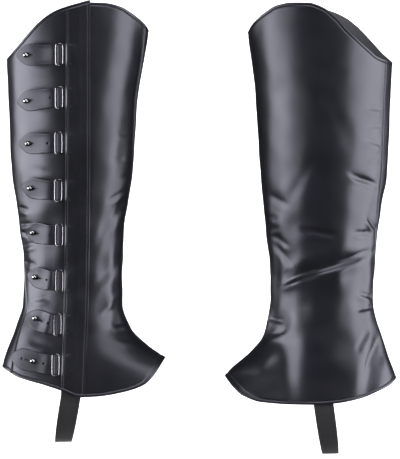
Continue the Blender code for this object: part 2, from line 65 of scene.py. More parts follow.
MM = 0.001
print("solids:", len(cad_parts), "box:", [[round(v, 4) for v in corner] for corner in cad_box])

# %% [markdown]
# ## Smooth curves from a few numbers
# A boot cover has no simple outline, so its shape comes from short tables of measured points.
# A plain spline would swing past them. This curve keeps between its points, as a pattern maker's
# flexible ruler does when it is held lightly, and `ease` gives the soft steps between two levels.

# %% Curves
def smooth_curve(places, values):
    """A curve through the points that never overshoots them and runs on straight past its ends."""
    xs = np.array(places, float)
    ys = np.array(values, float)
    steps = np.diff(xs)
    slopes = np.diff(ys) / steps
    tangents = np.zeros_like(ys)
    tangents[0] = slopes[0]
    tangents[-1] = slopes[-1]
    product = slopes[:-1] * slopes[1:]
    rising = product > 0
    tangents[1:-1][rising] = 2 * product[rising] / (slopes[:-1] + slopes[1:])[rising]

    def at(x):
        x = np.asarray(x, float)
        inside = np.clip(x, xs[0], xs[-1])
        k = np.clip(np.searchsorted(xs, inside) - 1, 0, len(steps) - 1)
        t = (inside - xs[k]) / steps[k]
        value = (
            ys[k] * (1 + 2 * t) * (1 - t) ** 2
            + ys[k + 1] * t * t * (3 - 2 * t)
            + steps[k] * t * (1 - t) * (tangents[k] * (1 - t) - tangents[k + 1] * t)
        )
        return value + np.where(x < xs[0], tangents[0], tangents[-1]) * (x - inside)

    return at


def curve_of(rows, column):
    """The curve of one column of a table over the table's first column."""
    return smooth_curve([row[0] for row in rows], [row[column] for row in rows])


def ease(t):
    """0 to 1, level at both ends."""
    t = np.clip(t, 0, 1)
    return t * t * (3 - 2 * t)


def rise(x, low, high):
    """0 at low and 1 at high, with a soft step between."""
    return ease((np.asarray(x, float) - low) / (high - low))


print("halfway up a soft step:", float(rise(5, 0, 10)))

# %% [markdown]
# ## The leg's shape
# Each cover is one tube round a leg. Seen from the side it has an outline, a hem and a top edge, and
# from above it is an oval, pinched towards the toe. All tables are in millimetres, heights count from
# the hem's lowest point, and X points to the toe. The two covers were measured one by one, because
# no two filled covers stand alike.

# %% The tables of the tube
# height, how far the heel side reaches, how far the toe side reaches
LEFT_OUTLINE = [
    (0, -94.6, 169.3), (36, -85.3, 123.3), (46, -82.6, 105.1), (61, -77.2, 82.5), (80, -70.2, 63.9),
    (108, -60.9, 54.7), (145, -59.8, 53.9), (201, -65.6, 57), (265, -74.8, 66.3), (340, -78.3, 70.9),
    (405, -81.1, 81.3), (430, -82.1, 84.6), (470, -83.1, 85.8),
]
RIGHT_OUTLINE = [
    (0, -97.4, 158.2), (32, -87.2, 112.7), (42, -83.8, 103.4), (60, -76.8, 82.6), (79, -71, 67.5),
    (98, -65.2, 61.7), (125, -60.6, 58.2), (162, -62.9, 59.4), (227, -69.6, 66.3), (265, -76.8, 69.8),
    (311, -79.1, 73.3), (367, -81.4, 76.8), (431, -84.4, 84.7), (475, -85.4, 86.2),
]
# x, height of the hem
LEFT_HEM = [
    (-84.7, 34.8), (-67, 24), (-36, 14.8), (-17.6, 8.8), (5.8, 0.7), (25, 1.5), (58, 7.2),
    (80, 15.3), (90, 25), (103.8, 46.1),
]
RIGHT_HEM = [
    (-86.4, 29), (-80.7, 23.2), (-65, 15.1), (-47, 7.8), (-14.6, 1.5), (8, 0.1), (68, 3), (92, 11),
    (103, 21.2), (111.9, 33),
]
# x, height of the top edge on the buckled side, on the plain side
TOP_EDGE = [
    (-85, 387.5, 387.5), (-74, 398.5, 392), (-65, 408.5, 395.5), (-56, 419, 402.6), (-43, 432.5, 413.8),
    (-29, 443.2, 426.5), (-16, 449.3, 440.5), (0, 453.8, 452), (16, 456, 456.8), (34, 455.5, 457),
    (52, 451.5, 454), (64, 444.5, 447), (74, 437, 439), (82, 429.5, 430.5), (86, 422, 422),
]
# height, half the depth of the oval, and how far it is pinched at the left cover's toe and heel and at
# the right cover's toe and heel
DEPTHS = [
    (0, 50, 0.5, -0.4, 0.55, 0.04), (40, 47, 0.42, -0.35, 0.57, 0.12), (80, 41.5, 0.32, -0.12, 0.6, 0.24),
    (110, 38.5, 0.1, 0.12, 0.64, 0.36), (145, 38, -0.12, 0.28, 0.64, 0.5), (200, 42, -0.12, 0.34, 0.56, 0.52),
    (265, 49, -0.06, 0.28, 0.46, 0.48), (340, 54, 0.02, 0.08, 0.32, 0.46), (400, 57, 0.05, -0.2, 0.22, 0.42),
    (470, 59, 0.12, -0.6, 0.16, 0.3),
]
# fraction of the way up, degrees of the front seam from the toe, of the rear seam from the heel
SEAMS = [
    (0, 0, -33), (0.08, 0, -28), (0.21, 1, -20), (0.37, 3, 2), (0.5, 5, 18), (0.68, 11, 26),
    (0.9, 15, 26), (1, 19, 26),
]
# height, x of the placket's heel-side edge
PLACKET_EDGE = [(0, -16.5), (110, -13), (200, -11.5), (300, -10.8), (460, -10.4)]
LEG_AXIS = -3.0  # x of the line that the angles turn about
half_depth, placket_x = curve_of(DEPTHS, 1), curve_of(PLACKET_EDGE, 1)
seam_front, seam_rear = curve_of(SEAMS, 1), curve_of(SEAMS, 2)
print("the calf is", 2 * float(half_depth(400)), "mm deep and the ankle", 2 * float(half_depth(130)))

# %% [markdown]
# ## Folds and creases
# Thin leather on a leg doesn't hang smoothly. It breaks into soft diagonal folds where the ankle
# bends, and into small dents near the seams. A fold here is a long soft bump with a place, a length,
# a width and a turn. A crease is a narrower trough whose one side rises to a lip that catches the
# light, as pressed leather does, and which may bend. The first table holds the large folds that the
# solids have too. The next two hold the creases seen on each cover, and the side that faces away
# from us gets the other cover's creases, moved and softened, so that no two sides are the same.

# %% The tables of folds and creases
# side, x, height, half length, half width, turn in degrees, depth
FOLDS = [
    ("inner", -4, 160, 52, 8, -16, -3.0), ("inner", 0, 148, 46, 8, -16, 2.2),
    ("inner", -48, 259, 15, 8, 28, -2.2), ("inner", -52, 197, 14, 8, -40, -1.8),
    ("inner", 53, 237, 15, 9, 26, -0.9), ("inner", 46, 205, 30, 9, 64, 0.7),
    ("inner", 46, 98, 14, 8, 15, -0.9), ("inner", 44, 80, 16, 8, -15, 0.8),
    ("inner", -46, 112, 15, 9, 55, -1.6), ("outer", 52, 224, 28, 10, 60, -0.9),
    ("outer", 57, 290, 30, 8, 84, -0.9), ("outer", 40, 107, 15, 9, 35, 1.1),
    ("outer", 49, 80, 11, 10, 20, -1.0), ("outer", 33, 168, 20, 10, 60, -0.7),
    ("inner", 44, 40, 50, 17, 88, -7), ("inner", -59, 42, 34, 9, -76, -5),
]
Crease = namedtuple("Crease", "x height length width turn depth bend lip")
PLAIN_SIDE_CREASES = [Crease(*row) for row in (
    (-8, 158, 50, 3.2, -20.7, 1.6, 2.5, 0.7), (-38, 171, 20, 3, -17, 1.1, -1, 0.7),
    (33, 144, 13, 3, -34, 0.8, 1, 0.7), (4, 199, 18, 3.4, 2, 1.9, 1.5, 0.3),
    (-47, 198, 10, 3, -8, 1.2, 1, 0.8), (-50, 259, 17, 3, 29, 1.3, -2, 0.8),
    (52, 237, 14, 3.6, 23, 0.45, 1, 0.8), (46, 189, 11, 3.4, 29, 0.5, 1, 0.8),
    (43, 172, 14, 3.6, 54, 0.5, 0, 0.9), (60, 217, 9, 3, 12, 0.6, 0, 0.7),
    (56, 203, 8, 3, -10, 0.5, 0, 0.8), (-62, 342, 9, 3, 6, 0.9, 0, 0.7),
    (-63, 322, 8, 3, -4, 0.8, 0, 0.7), (-61, 303, 10, 3, 9, 0.9, 1, 0.7),
    (-62, 287, 8, 3, -6, 0.8, 0, 0.7), (-59, 209, 8, 2.6, 30, 1.2, 2, 0.9),
    (54, 98, 9, 3, 10, 0.8, 0, 0.8), (50, 83, 9, 3, -18, 0.7, 0, 0.8),
    (-52, 126, 9, 2.8, 18, 1.2, 0, 0.8), (-52, 111, 9, 2.8, -10, 1.1, 0, 0.8),
    (-47.5, 73, 12, 3.2, -76, 1.1, 2, 0.8), (-60, 60, 18, 4, -68, 1.2, 0, 0.6),
    (22, 262, 26, 7, -58, 0.6, 0, 0.4), (-20, 330, 34, 9, 66, 0.5, 0, 0.4),
)]
BUCKLED_SIDE_CREASES = [Crease(*row) for row in (
    (50, 234, 13, 2.8, 24, 0.9, 1, 0.8), (50, 274, 8, 3, 10, 0.5, 0, 0.7),
    (57, 304, 8, 3, -12, 0.5, 0, 0.7), (62, 257, 9, 3, 18, 0.6, 0, 0.8),
    (57, 217, 8, 3, 26, 0.6, 0, 0.8), (52, 220, 24, 3.6, 57, 0.6, 2, 0.7),
    (48, 117, 9, 3.4, 24, -0.6, 0, 0.7), (35, 103, 9, 3.6, 38, -0.6, 0, 0.7),
    (51, 86, 9, 3.4, 12, 0.8, 0, 0.9), (57, 67, 9, 3, -8, 0.5, 0, 0.8),
    (-61, 218, 7, 2.6, -16, 1.1, 0, 0.8), (-60, 200, 8, 2.6, 6, 1.1, 0, 0.8),
    (-61, 190, 7, 2.4, -20, 0.9, 0, 0.8), (-56, 176, 8, 2.8, 14, 1.1, 0, 0.8),
    (-55, 155, 9, 3, -12, 0.9, 0, 0.7), (30, 190, 22, 5, 62, 0.5, 2, 0.6),
    (34, 140, 18, 4.5, 48, 0.5, -2, 0.7), (-40, 262, 10, 4, -20, 0.5, 0, 0.5),
    (-42, 114, 9, 3.4, 10, 0.8, 0, 0.7), (-40, 62, 12, 4, -14, 0.6, 0, 0.5),
)]


def softened(creases, along, upwards, share):
    """The same creases a little further along and up, and shallower."""
    return [c._replace(x=c.x + along, height=c.height + upwards, depth=c.depth * share, bend=-c.bend)
            for c in creases]


print("folds:", len(FOLDS), "creases:", len(PLAIN_SIDE_CREASES) + len(BUCKLED_SIDE_CREASES), "a cover")

# %% [markdown]
# ## One cover's surface
# Every piece lies on this surface, so it is written once as a function: give it an angle round the leg,
# a height and a lift, and it returns a point. An angle of 0 is the toe, 90 degrees the buckled side
# and 180 the heel. Where the hem and the top edge cross each angle is found by halving a range again
# and again, and is then kept in a table, because the fine meshes ask for it thousands of times.

# %% Where the tabs are
# where the slide and the stud are, how far the tab bows out, its spare holes beyond the stud, and how far
# it pulls the leather under it flat
Tab = namedtuple("Tab", "slide_x slide_height stud_x stud_height bow holes_beyond pull")
TABS = [
    Tab(-18.1, 396, -55.7, 395.8, 0.3, 0, 2.6), Tab(-18.3, 346.3, -55.2, 342.8, 0.8, 0, 1.8),
    Tab(-19, 293.9, -53.6, 293.7, 1.1, 0, 1.5), Tab(-19.3, 239.4, -50.6, 242.4, 1.6, 0, 1.0),
    Tab(-18.3, 187.9, -48, 190.9, 2.8, 0, 0.8), Tab(-18.2, 134.6, -45.2, 139.2, 4.2, 0, 0.8),
    Tab(-20.2, 84.1, -45.7, 90.5, 4.2, 0, 0.8), Tab(-22.5, 37.9, -48.8, 42, 1.4, 1, 1.0),
]
TAB_TURN_START = 3.8  # past its slide a tab turns to the slope that brings it to its stud
TAB_TURN_LENGTH = 6.0
print("tabs on a cover:", len(TABS))

# %% The surface
SLOPE_STEP = 0.01
WALK_STEPS = 16
HALVINGS = 30
STEEPEST_EDGE = 1.3
HEM_RANGE = (-10.0, 90.0)
TOP_RANGE = (360.0, 490.0)
SIDE_STEP = 3.0  # how fast the folds of one side fade out towards the other
CREASE_SWING = 1.9
LIP_AWAY, LIP_WIDTH = 1.5, 1.2  # in widths of the crease
ANKLE_HEIGHT = 150
TURNS = np.linspace(-math.pi, 3 * math.pi, 2881)
Tabled = namedtuple("Tabled", "height lean")


class Cover:
    """One cover's surface, in millimetres in its own frame."""

    def __init__(self, name, outline, pinch, hem, taller, creases, place, turn, seed):
        self.name = name
        self.toe_pinch, self.heel_pinch = curve_of(DEPTHS, pinch), curve_of(DEPTHS, pinch + 1)
        self.rear = curve_of(outline, 1)
        self.front = curve_of(outline, 2)
        self.creases = creases
        self.waves = np.random.default_rng(seed).uniform(0, 2 * math.pi, 12)
        self.stand = np.array(place, float)
        self.turn = turn
        outer_top, inner_top = curve_of(TOP_EDGE, 1), curve_of(TOP_EDGE, 2)
        self.hem = self.tabled(curve_of(hem, 1), *HEM_RANGE)
        self.top = self.tabled(
            lambda x: np.where(np.sin(TURNS) > 0, outer_top(x), inner_top(x)) + taller, *TOP_RANGE)

    def tabled(self, edge, low, high):
        """The height at which each angle's line crosses an edge, and how much longer a slanted edge is."""
        low, high = np.full(len(TURNS), low), np.full(len(TURNS), high)
        for _ in range(HALVINGS):
            middle = (low + high) / 2
            above = middle > edge(self.x_at(TURNS, middle))
            low, high = np.where(above, low, middle), np.where(above, middle, high)
        points = self.base(TURNS, low)[:, :2]
        step = np.linalg.norm(np.gradient(points, axis=0), axis=1)
        slope = np.clip(np.gradient(low) / np.maximum(step, 1e-6), -STEEPEST_EDGE, STEEPEST_EDGE)
        return Tabled(low, np.sqrt(1 + slope**2))

    def hem_height(self, angle):
        return np.interp(angle, TURNS, self.hem.height)

    def top_height(self, angle):
        return np.interp(angle, TURNS, self.top.height)

    def x_at(self, angle, height):
        return LEG_AXIS + self.reach(np.cos(angle) > 0, height) * np.cos(angle)

    def reach(self, toe_side, height):
        """How far the outline is from the leg's axis."""
        return np.where(toe_side, self.front(height) - LEG_AXIS, LEG_AXIS - self.rear(height))

    def base(self, angle, height):
        """The outer face with no folds, as points along the last axis."""
        angle, height = np.broadcast_arrays(np.asarray(angle, float), np.asarray(height, float))
        across = np.abs(np.sin(angle))
        toward_toe = 0.5 + 0.5 * np.cos(angle)
        toe, heel = self.toe_pinch(height), self.heel_pinch(height)
        pinch = heel + (toe - heel) * toward_toe
        depth = half_depth(height) * ((1 - pinch) * across + pinch * across**2)
        return np.stack([self.x_at(angle, height), -np.sign(np.sin(angle)) * depth, height], -1)

    def normal(self, angle, height):
        round_it = self.base(angle + SLOPE_STEP, height) - self.base(angle - SLOPE_STEP, height)
        upward = self.base(angle, height + SLOPE_STEP) - self.base(angle, height - SLOPE_STEP)
        outward = np.cross(upward, round_it)
        return outward / np.linalg.norm(outward, axis=-1, keepdims=True)

    def relief(self, angle, height):
        """How far folds, creases and soft waves move the face outwards."""
        x = self.x_at(angle, height)
        sides = {"outer": ease(SIDE_STEP * np.sin(angle)), "inner": ease(-SIDE_STEP * np.sin(angle))}
        moved = np.zeros(np.broadcast(angle, height).shape)
        for side, at_x, at_height, length, width, turn, depth in FOLDS:
            along, aside = turned(x - at_x, height - at_height, turn)
            bump = np.exp(-((along / length) ** 2) - (aside / width) ** 2)
            moved = moved + depth * sides[side] * bump
        for side, creases in self.creases.items():
            for c in creases:
                along, aside = turned(x - c.x, height - c.height, c.turn)
                aside = aside - c.bend * np.sin(CREASE_SWING * along / c.length)
                reach = np.exp(-((along / c.length) ** 4)) * sides[side]
                trough = -np.exp(-((aside / c.width) ** 2))
                past_lip = (aside + LIP_AWAY * c.width) / (LIP_WIDTH * c.width)
                lip = c.lip * np.exp(-(past_lip**2))
                moved = moved + c.depth * reach * (trough + lip)
        return moved + self.soft_waves(angle, height) + self.tab_pull(x, height) * sides["outer"]

    def soft_waves(self, angle, height):
        """Slow unevenness all round, stronger at the ankle, where the leather has room."""
        w = self.waves
        loose = 0.25 + 0.45 * np.exp(-(((height - ANKLE_HEIGHT) / 90) ** 2))
        return loose * (
            np.sin(3 * angle + height / 31 + w[0]) * np.sin(height / 23 + w[1])
            + 0.7 * np.sin(7 * angle - height / 17 + w[2]) * np.sin(height / 14 + w[3])
            + 0.5 * np.sin(11 * angle + height / 9 + w[4]) * np.sin(5 * angle - height / 12 + w[5])
        )

    def tab_pull(self, x, height):
        """Each tab draws the back panel in, and the leather swells a little between the lower tabs."""
        moved = np.zeros(np.broadcast(x, height).shape)
        for here, after in zip(TABS, TABS[1:] + [None]):
            at_height = (here.slide_height + here.stud_height) / 2
            middle = (here.slide_x + here.stud_x) / 2
            near = np.exp(-(((x - middle) / 15) ** 2) - ((height - at_height) / 12) ** 4)
            moved = moved - here.pull * near
            if after and here.slide_height < 300:
                between = (here.slide_height + after.slide_height) / 2
                moved = moved + 0.7 * np.exp(-(((x + 40) / 15) ** 2) - ((height - between) / 11) ** 2)
        return moved

    def place(self, angle, height, lift=0.0):
        """The folded face's point, moved out by lift."""
        angle, height, lift = np.broadcast_arrays(angle, height, lift)
        out = self.relief(angle, height) + lift
        return self.base(angle, height) + self.normal(angle, height) * out[..., None]

    def angle_of_x(self, x, height):
        """The angle on the buckled side of a point seen at x."""
        return np.arccos(np.clip((x - LEG_AXIS) / self.reach(x > LEG_AXIS, height), -1, 1))

    def closure_angle(self, fraction, beyond):
        """The angle of a line down the closure, beyond the placket's heel-side edge by a distance."""
        angle = np.full(np.shape(fraction), math.pi / 2)
        for _ in range(6):
            hem = self.hem_height(angle)
            height = hem + fraction * (self.top_height(angle) - hem)
            angle = self.angle_of_x(placket_x(height) + beyond, height)
        return angle

    def stand_off(self, angle, height, distance):
        """The change of angle that moves a point this far round the tube."""
        ahead = self.base(angle + SLOPE_STEP, height) - self.base(angle - SLOPE_STEP, height)
        return distance * 2 * SLOPE_STEP / np.linalg.norm(ahead, axis=-1)

    def beside(self, x, height, distance, upwards, lift):
        """A point this far round the tube towards the heel, and this far up, from the place seen at x."""
        distance, upwards, lift = np.broadcast_arrays(distance, upwards, lift)
        angle = self.angle_of_x(x, height + upwards)
        for _ in range(WALK_STEPS):
            angle = angle + self.stand_off(angle, height + upwards, distance / WALK_STEPS)
        return self.place(angle, height + upwards, lift)

    def run(self, tab):
        """The distance round the tube from a tab's slide to its stud."""
        ends = self.angle_of_x(np.array([tab.slide_x, tab.stud_x]), tab.slide_height)
        points = self.base(np.linspace(ends[0], ends[1], WALK_STEPS), tab.slide_height)
        return float(np.linalg.norm(np.diff(points, axis=0), axis=1).sum())

    def on_tab(self, tab, along, across, lift):
        """A point of a tab laid on the tube: along runs round from its slide to its tip, across upwards."""
        straight = self.run(tab) - TAB_TURN_START - TAB_TURN_LENGTH / 2
        slope = (tab.stud_height - tab.slide_height) / straight
        bent = np.clip((along - TAB_TURN_START) / TAB_TURN_LENGTH, 0, 1)
        past_turn = np.clip(along - TAB_TURN_START - TAB_TURN_LENGTH, 0, None)
        climb = slope * (TAB_TURN_LENGTH * bent**2 / 2 + past_turn)
        tilt = np.arctan(slope * bent)
        distance = along - across * np.sin(tilt)
        return self.beside(tab.slide_x, tab.slide_height, distance, climb + across * np.cos(tilt), lift)

    def in_pair(self, points):
        """Points in the pair's frame, in metres."""
        return (self.facing(points) + self.stand) * MM

    def facing(self, directions):
        """Directions in the pair's frame."""
        c, s = math.cos(self.turn), math.sin(self.turn)
        x, y, z = np.moveaxis(np.asarray(directions, float), -1, 0)
        return np.stack([c * x - s * y, s * x + c * y, z], -1)


def turned(x, z, degrees):
    """Distances along and across a line that is turned this far."""
    c, s = math.cos(math.radians(degrees)), math.sin(math.radians(degrees))
    return x * c + z * s, z * c - x * s


print("the surface is written, and", len(TURNS), "angles are kept for its edges")

# %% The two covers
LEFT = Cover("left", LEFT_OUTLINE, 2, LEFT_HEM, 0,
             {"outer": BUCKLED_SIDE_CREASES, "inner": softened(PLAIN_SIDE_CREASES, 3, 7, 0.8)},
             (-142, 0, -345), 0, 11)
RIGHT = Cover("right", RIGHT_OUTLINE, 4, RIGHT_HEM, 7,
              {"outer": softened(BUCKLED_SIDE_CREASES, -3, 6, 0.8), "inner": PLAIN_SIDE_CREASES},
              (142, 0, -353), math.pi, 12)
COVERS = (LEFT, RIGHT)
for cover in COVERS:
    print(cover.name, "hem from", round(float(cover.hem.height.min()), 1), "mm, top up to",
          round(float(cover.top.height.max()), 1), "mm")

# %% [markdown]
# ## Shader maths as plain expressions
# A finish mixes noise, ribs and wear, which is arithmetic. Wrapping a node's socket in a small class
# lets us write that arithmetic as Python, and every operator adds one Math node behind the scenes.

# %% A finish and its values
def new_node(tree, kind, settings=None, values=None):
    """A node of any tree: its type, its settings, which come first, and its sockets' values or links."""
    made = tree.nodes.new(kind)
    for name, setting in (settings or {}).items():
        setattr(made, name, setting)
    for name, value in (values or {}).items():
        if isinstance(value, bpy.types.NodeSocket):
            tree.links.new(value, made.inputs[name])
        else:
            made.inputs[name].default_value = value
    return made


class Value:
    """A number that varies over a surface. Arithmetic on it adds Math nodes."""

    def __init__(self, finish, socket):
        self.finish = finish
        self.socket = socket

    def __add__(self, other):
        return self.finish.node("Math", {"operation": "ADD"}, {0: self, 1: other})

    def __mul__(self, other):
        return self.finish.node("Math", {"operation": "MULTIPLY"}, {0: self, 1: other})

    __radd__ = __add__
    __rmul__ = __mul__


class Finish:
    """A material made of one Principled shader, whose constants are set at once."""

    def __init__(self, name, **constants):
        self.material = bpy.data.materials.new(name)
        self.material.use_nodes = True
        self.tree = self.material.node_tree
        self.shader = self.tree.nodes["Principled BSDF"]
        for socket, value in constants.items():
            self.shader.inputs[socket.replace("_", " ")].default_value = value

    def node(self, kind, settings=None, values=None, output=0):
        sockets = {name: getattr(value, "socket", value) for name, value in (values or {}).items()}
        return Value(self, new_node(self.tree, "ShaderNode" + kind, settings, sockets).outputs[output])

    def drive(self, socket, value):
        self.tree.links.new(value.socket, self.shader.inputs[socket])

    def placed(self, kind, settings, values, output):
        """A texture that is fixed to the object."""
        return self.node(kind, settings, {"Vector": self.node("TexCoord", output="Object"), **values}, output)

    def noise(self, scale, detail=3.0, roughness=0.5):
        """Soft random values of about this many features a metre."""
        return self.placed("TexNoise", None, {"Scale": scale, "Detail": detail, "Roughness": roughness}, "Fac")

    def tinted(self, share, first, second):
        """Drives the colour between two others."""
        colours = {0: share, 6: (*first, 1), 7: (*second, 1)}
        self.drive("Base Color", self.node("Mix", {"data_type": "RGBA"}, colours, 2))

    def bumped(self, height, distance, strength):
        values = {"Height": height, "Distance": distance, "Strength": strength}
        self.drive("Normal", self.node("Bump", None, values, "Normal"))


def noisy_finish(name, noise, dark, light, roughness, swing, bump=None, **constants):
    """Colour and roughness follow one noise. bump is a distance and a strength."""
    f = Finish(name, **constants)
    grain = f.noise(*noise)
    f.tinted(grain, dark, light)
    f.drive("Roughness", roughness + swing * grain)
    if bump:
        f.bumped(grain, *bump)
    return f.material


print("a finish can be written as an expression")

# %% [markdown]
# ## The finishes
# Faux leather is a coat of soft plastic on a knit: nearly black, with a fine pressed grain that only
# shows close up, a satin gloss that is a little uneven, and a cool sheen. Its back is the bare knit.
# Cut edges are a little paler and rougher, because the coat ends there. The webbing is matt and ribbed,
# the thread is waxed, and the metal is nickel plate that is slightly clouded by handling.

# %% Leather, its back and its cut edge
def leather_finish(name, shine):
    """Black leather. A smaller shine is a duller, rougher face."""
    f = Finish(name, Specular_IOR_Level=0.5, Specular_Tint=(0.9, 0.9, 1.0, 1))
    pores = f.placed("TexVoronoi", {"feature": "DISTANCE_TO_EDGE"}, {"Scale": 900.0}, "Distance")
    grain = f.node("MapRange", None, {"Value": pores, "From Max": 0.35}, "Result")
    mottle, fine, lumps = f.noise(34.0), f.noise(420.0, 2.0), f.noise(55.0, 1.0)
    f.tinted(mottle, (0.0018, 0.0019, 0.0027), (0.0042, 0.0044, 0.0062))
    f.drive("Roughness", 0.97 - shine + 0.15 * mottle + 0.05 * fine)
    f.bumped(grain + 0.8 * fine + 6.0 * lumps, 0.00004, 0.55)
    return f.material


def backing_finish():
    f = Finish("knit_backing", Specular_IOR_Level=0.25, Sheen_Weight=0.15, Sheen_Roughness=0.5)
    loops = f.placed("TexVoronoi", None, {"Scale": 700.0, "Randomness": 0.55}, "Distance")
    f.tinted(f.noise(60.0), (0.028, 0.028, 0.031), (0.045, 0.045, 0.049))
    f.drive("Roughness", 0.82 + 0.1 * loops)
    f.bumped(loops, 0.0002, 0.6)
    return f.material


LEATHER, STRAP_LEATHER = leather_finish("black_leather", 0.73), leather_finish("strap_leather", 0.63)
BACKING = backing_finish()
CUT_EDGE = noisy_finish("cut_leather_edge", (900.0, 2.0), (0.004, 0.004, 0.005), (0.012, 0.012, 0.014),
                        0.6, 0.2, (0.0001, 0.5), Specular_IOR_Level=0.3)
print("finishes:", LEATHER.name, STRAP_LEATHER.name, BACKING.name, CUT_EDGE.name)

# %% Thread, webbing and metal
RIB_PITCH = 1.4
THREAD_PITCH = 0.9


def webbing_finish():
    """Ribs along the strap and cross threads, both read from its own map in millimetres."""
    f = Finish("elastic_webbing", Specular_IOR_Level=0.3, Sheen_Weight=0.1, Sheen_Roughness=0.4)
    place = f.node("UVMap", {"uv_map": "cloth"}, None, "UV")

    def ripple(axis, pitch):
        distance = f.node("SeparateXYZ", None, {"Vector": place}, axis)
        return f.node("Math", {"operation": "SINE"}, {0: distance * (2 * math.pi / pitch)})

    weave = 0.5 + 0.3 * ripple("X", RIB_PITCH) + 0.2 * ripple("Y", THREAD_PITCH)
    f.tinted(weave, (0.0032, 0.003, 0.0037), (0.009, 0.0086, 0.0102))
    f.drive("Roughness", 0.78 + 0.12 * f.noise(300.0))
    f.bumped(weave, 0.00025, 0.8)
    return f.material


THREAD = noisy_finish("waxed_thread", (1500.0, 1.0), (0.012, 0.013, 0.016), (0.03, 0.031, 0.036),
                      0.38, 0.15, Specular_IOR_Level=0.5)
WEBBING = webbing_finish()
NICKEL = noisy_finish("nickel_plate", (240.0, 4.0, 0.6), (0.3, 0.295, 0.295), (0.46, 0.455, 0.45),
                      0.1, 0.14, Metallic=1.0)
print("finishes:", THREAD.name, WEBBING.name, NICKEL.name)

# %% [markdown]
# ## From a grid of points to a shell
# A cut of leather is a closed thin wall: an outer face, an inner face a wall's thickness behind it, and
# a rim round its border. Building the three as one mesh keeps it watertight. Its faces are checked by
# the sign of the volume they enclose, which is positive when they all point outwards.


def enclosed(points, faces):
    """Six times the volume inside closed faces: negative when they point inwards."""
    total = 0.0
    for size in {len(face) for face in faces}:
        corners = points[np.array([face for face in faces if len(face) == size])]
        for k in range(1, size - 1):
            total += np.einsum("ij,ij->", corners[:, 0], np.cross(corners[:, k], corners[:, k + 1]))
    return total


def in_scene(name, data):
    """A new object that holds a mesh, a light or a camera."""
    made = bpy.data.objects.new(name, data)
    bpy.context.scene.collection.objects.link(made)
    return made


def add_piece(cover, part, made_of, points, faces, finishes, finish_of_face=0, sharp=50):
    """A smooth closed mesh in place of one solid, from points in the cover's frame."""
    points = cover.in_pair(points)
    faces = [tuple(int(v) for v in face) for face in faces]
    if enclosed(points - points.mean(0), faces) < 0:
        faces = [face[::-1] for face in faces]
    solid = f"{cover.name}_{part}"
    mesh = bpy.data.meshes.new(f"{solid}_{made_of}")
    mesh.from_pydata(points.tolist(), [], faces)
    for finish in finishes:
        mesh.materials.append(finish)
    finish_of_face = np.zeros(len(faces), np.int32) + finish_of_face
    mesh.polygons.foreach_set("material_index", finish_of_face.astype(np.int32))
    mesh.shade_smooth()
    mesh.set_sharp_from_angle(angle=math.radians(sharp))
    mesh.update()
    piece = in_scene(mesh.name, mesh)
    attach(piece, "root")
    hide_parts(solid)
    return piece


def grid_faces(rows, columns, rows_close=False, columns_close=False):
    """Quads over a grid of points, which may close on itself either way."""
    i, j = np.meshgrid(np.arange(rows - 1 + rows_close), np.arange(columns - 1 + columns_close), indexing="ij")
    here, above = i * columns, (i + 1) % rows * columns
    beside = (j + 1) % columns
    return np.stack([here + j, above + j, above + beside, here + beside], -1).reshape(-1, 4)


def walled(front, back_start, rim):
    """Faces of a wall and the finish of each: the front, the back behind it and the sides along its rim."""
    sides = [(a, b, back_start + b, back_start + a) for a, b in rim]
    faces = front.tolist() + (back_start + front[:, ::-1]).tolist() + sides
    return faces, [0] * len(front) + [1] * len(front) + [2] * len(sides)


def shell(cover, part, made_of, outer, inner, finishes):
    """A wall between two grids of points, closed round its border."""
    rows, columns = outer.shape[:2]
    rim = [j for j in range(columns)] + [i * columns + columns - 1 for i in range(1, rows)]
    rim += [(rows - 1) * columns + j for j in range(columns - 2, -1, -1)]
    rim += [i * columns for i in range(rows - 2, 0, -1)]
    faces, finish_of_face = walled(grid_faces(rows, columns), rows * columns, zip(rim, rim[1:] + rim[:1]))
    points = np.concatenate([outer.reshape(-1, 3), inner.reshape(-1, 3)])
    return add_piece(cover, part, made_of, points, faces, finishes, finish_of_face)


print("a shell of 3 by 3 points has", 2 * len(grid_faces(3, 3)) + 8, "faces")

# %% [markdown]
# ## Where the fine rows and columns go
# The leather is plain in its middle and busy at its edges: a turned edge about 3 mm wide, a groove
# where the stitches sit and a soft shoulder. So the grid's lines stand half a millimetre apart beside
# an edge and two millimetres apart elsewhere. That keeps each panel light and still gives it real edges.

# %% Graded lines
EDGE = np.array([0, 0.35, 0.8, 1.4, 2, 2.5, 3, 3.4, 4, 4.6, 5.4, 6.6, 8])
MIDDLE_ROWS = 196
WALL = 1.2
GAP = 0.3
LAP = WALL + GAP
TYPICAL_HEIGHT = 420.0
near_hem = np.concatenate([EDGE, np.full(MIDDLE_ROWS - 1 + len(EDGE), EDGE[-1])])
near_top = near_hem[::-1]
upward_share = np.concatenate([0 * EDGE, np.arange(1, MIDDLE_ROWS) / MIDDLE_ROWS, 0 * EDGE + 1])
LEVELS = (near_hem + (TYPICAL_HEIGHT - near_hem - near_top) * upward_share) / TYPICAL_HEIGHT


def row_heights(cover, angle):
    """The height of each row up a panel, for a grid of angles: close together at the hem and the top."""
    low = cover.hem_height(angle) + near_hem[:, None] * np.interp(angle, TURNS, cover.hem.lean)
    high = cover.top_height(angle) - near_top[:, None] * np.interp(angle, TURNS, cover.top.lean)
    return low + (high - low) * upward_share[:, None]


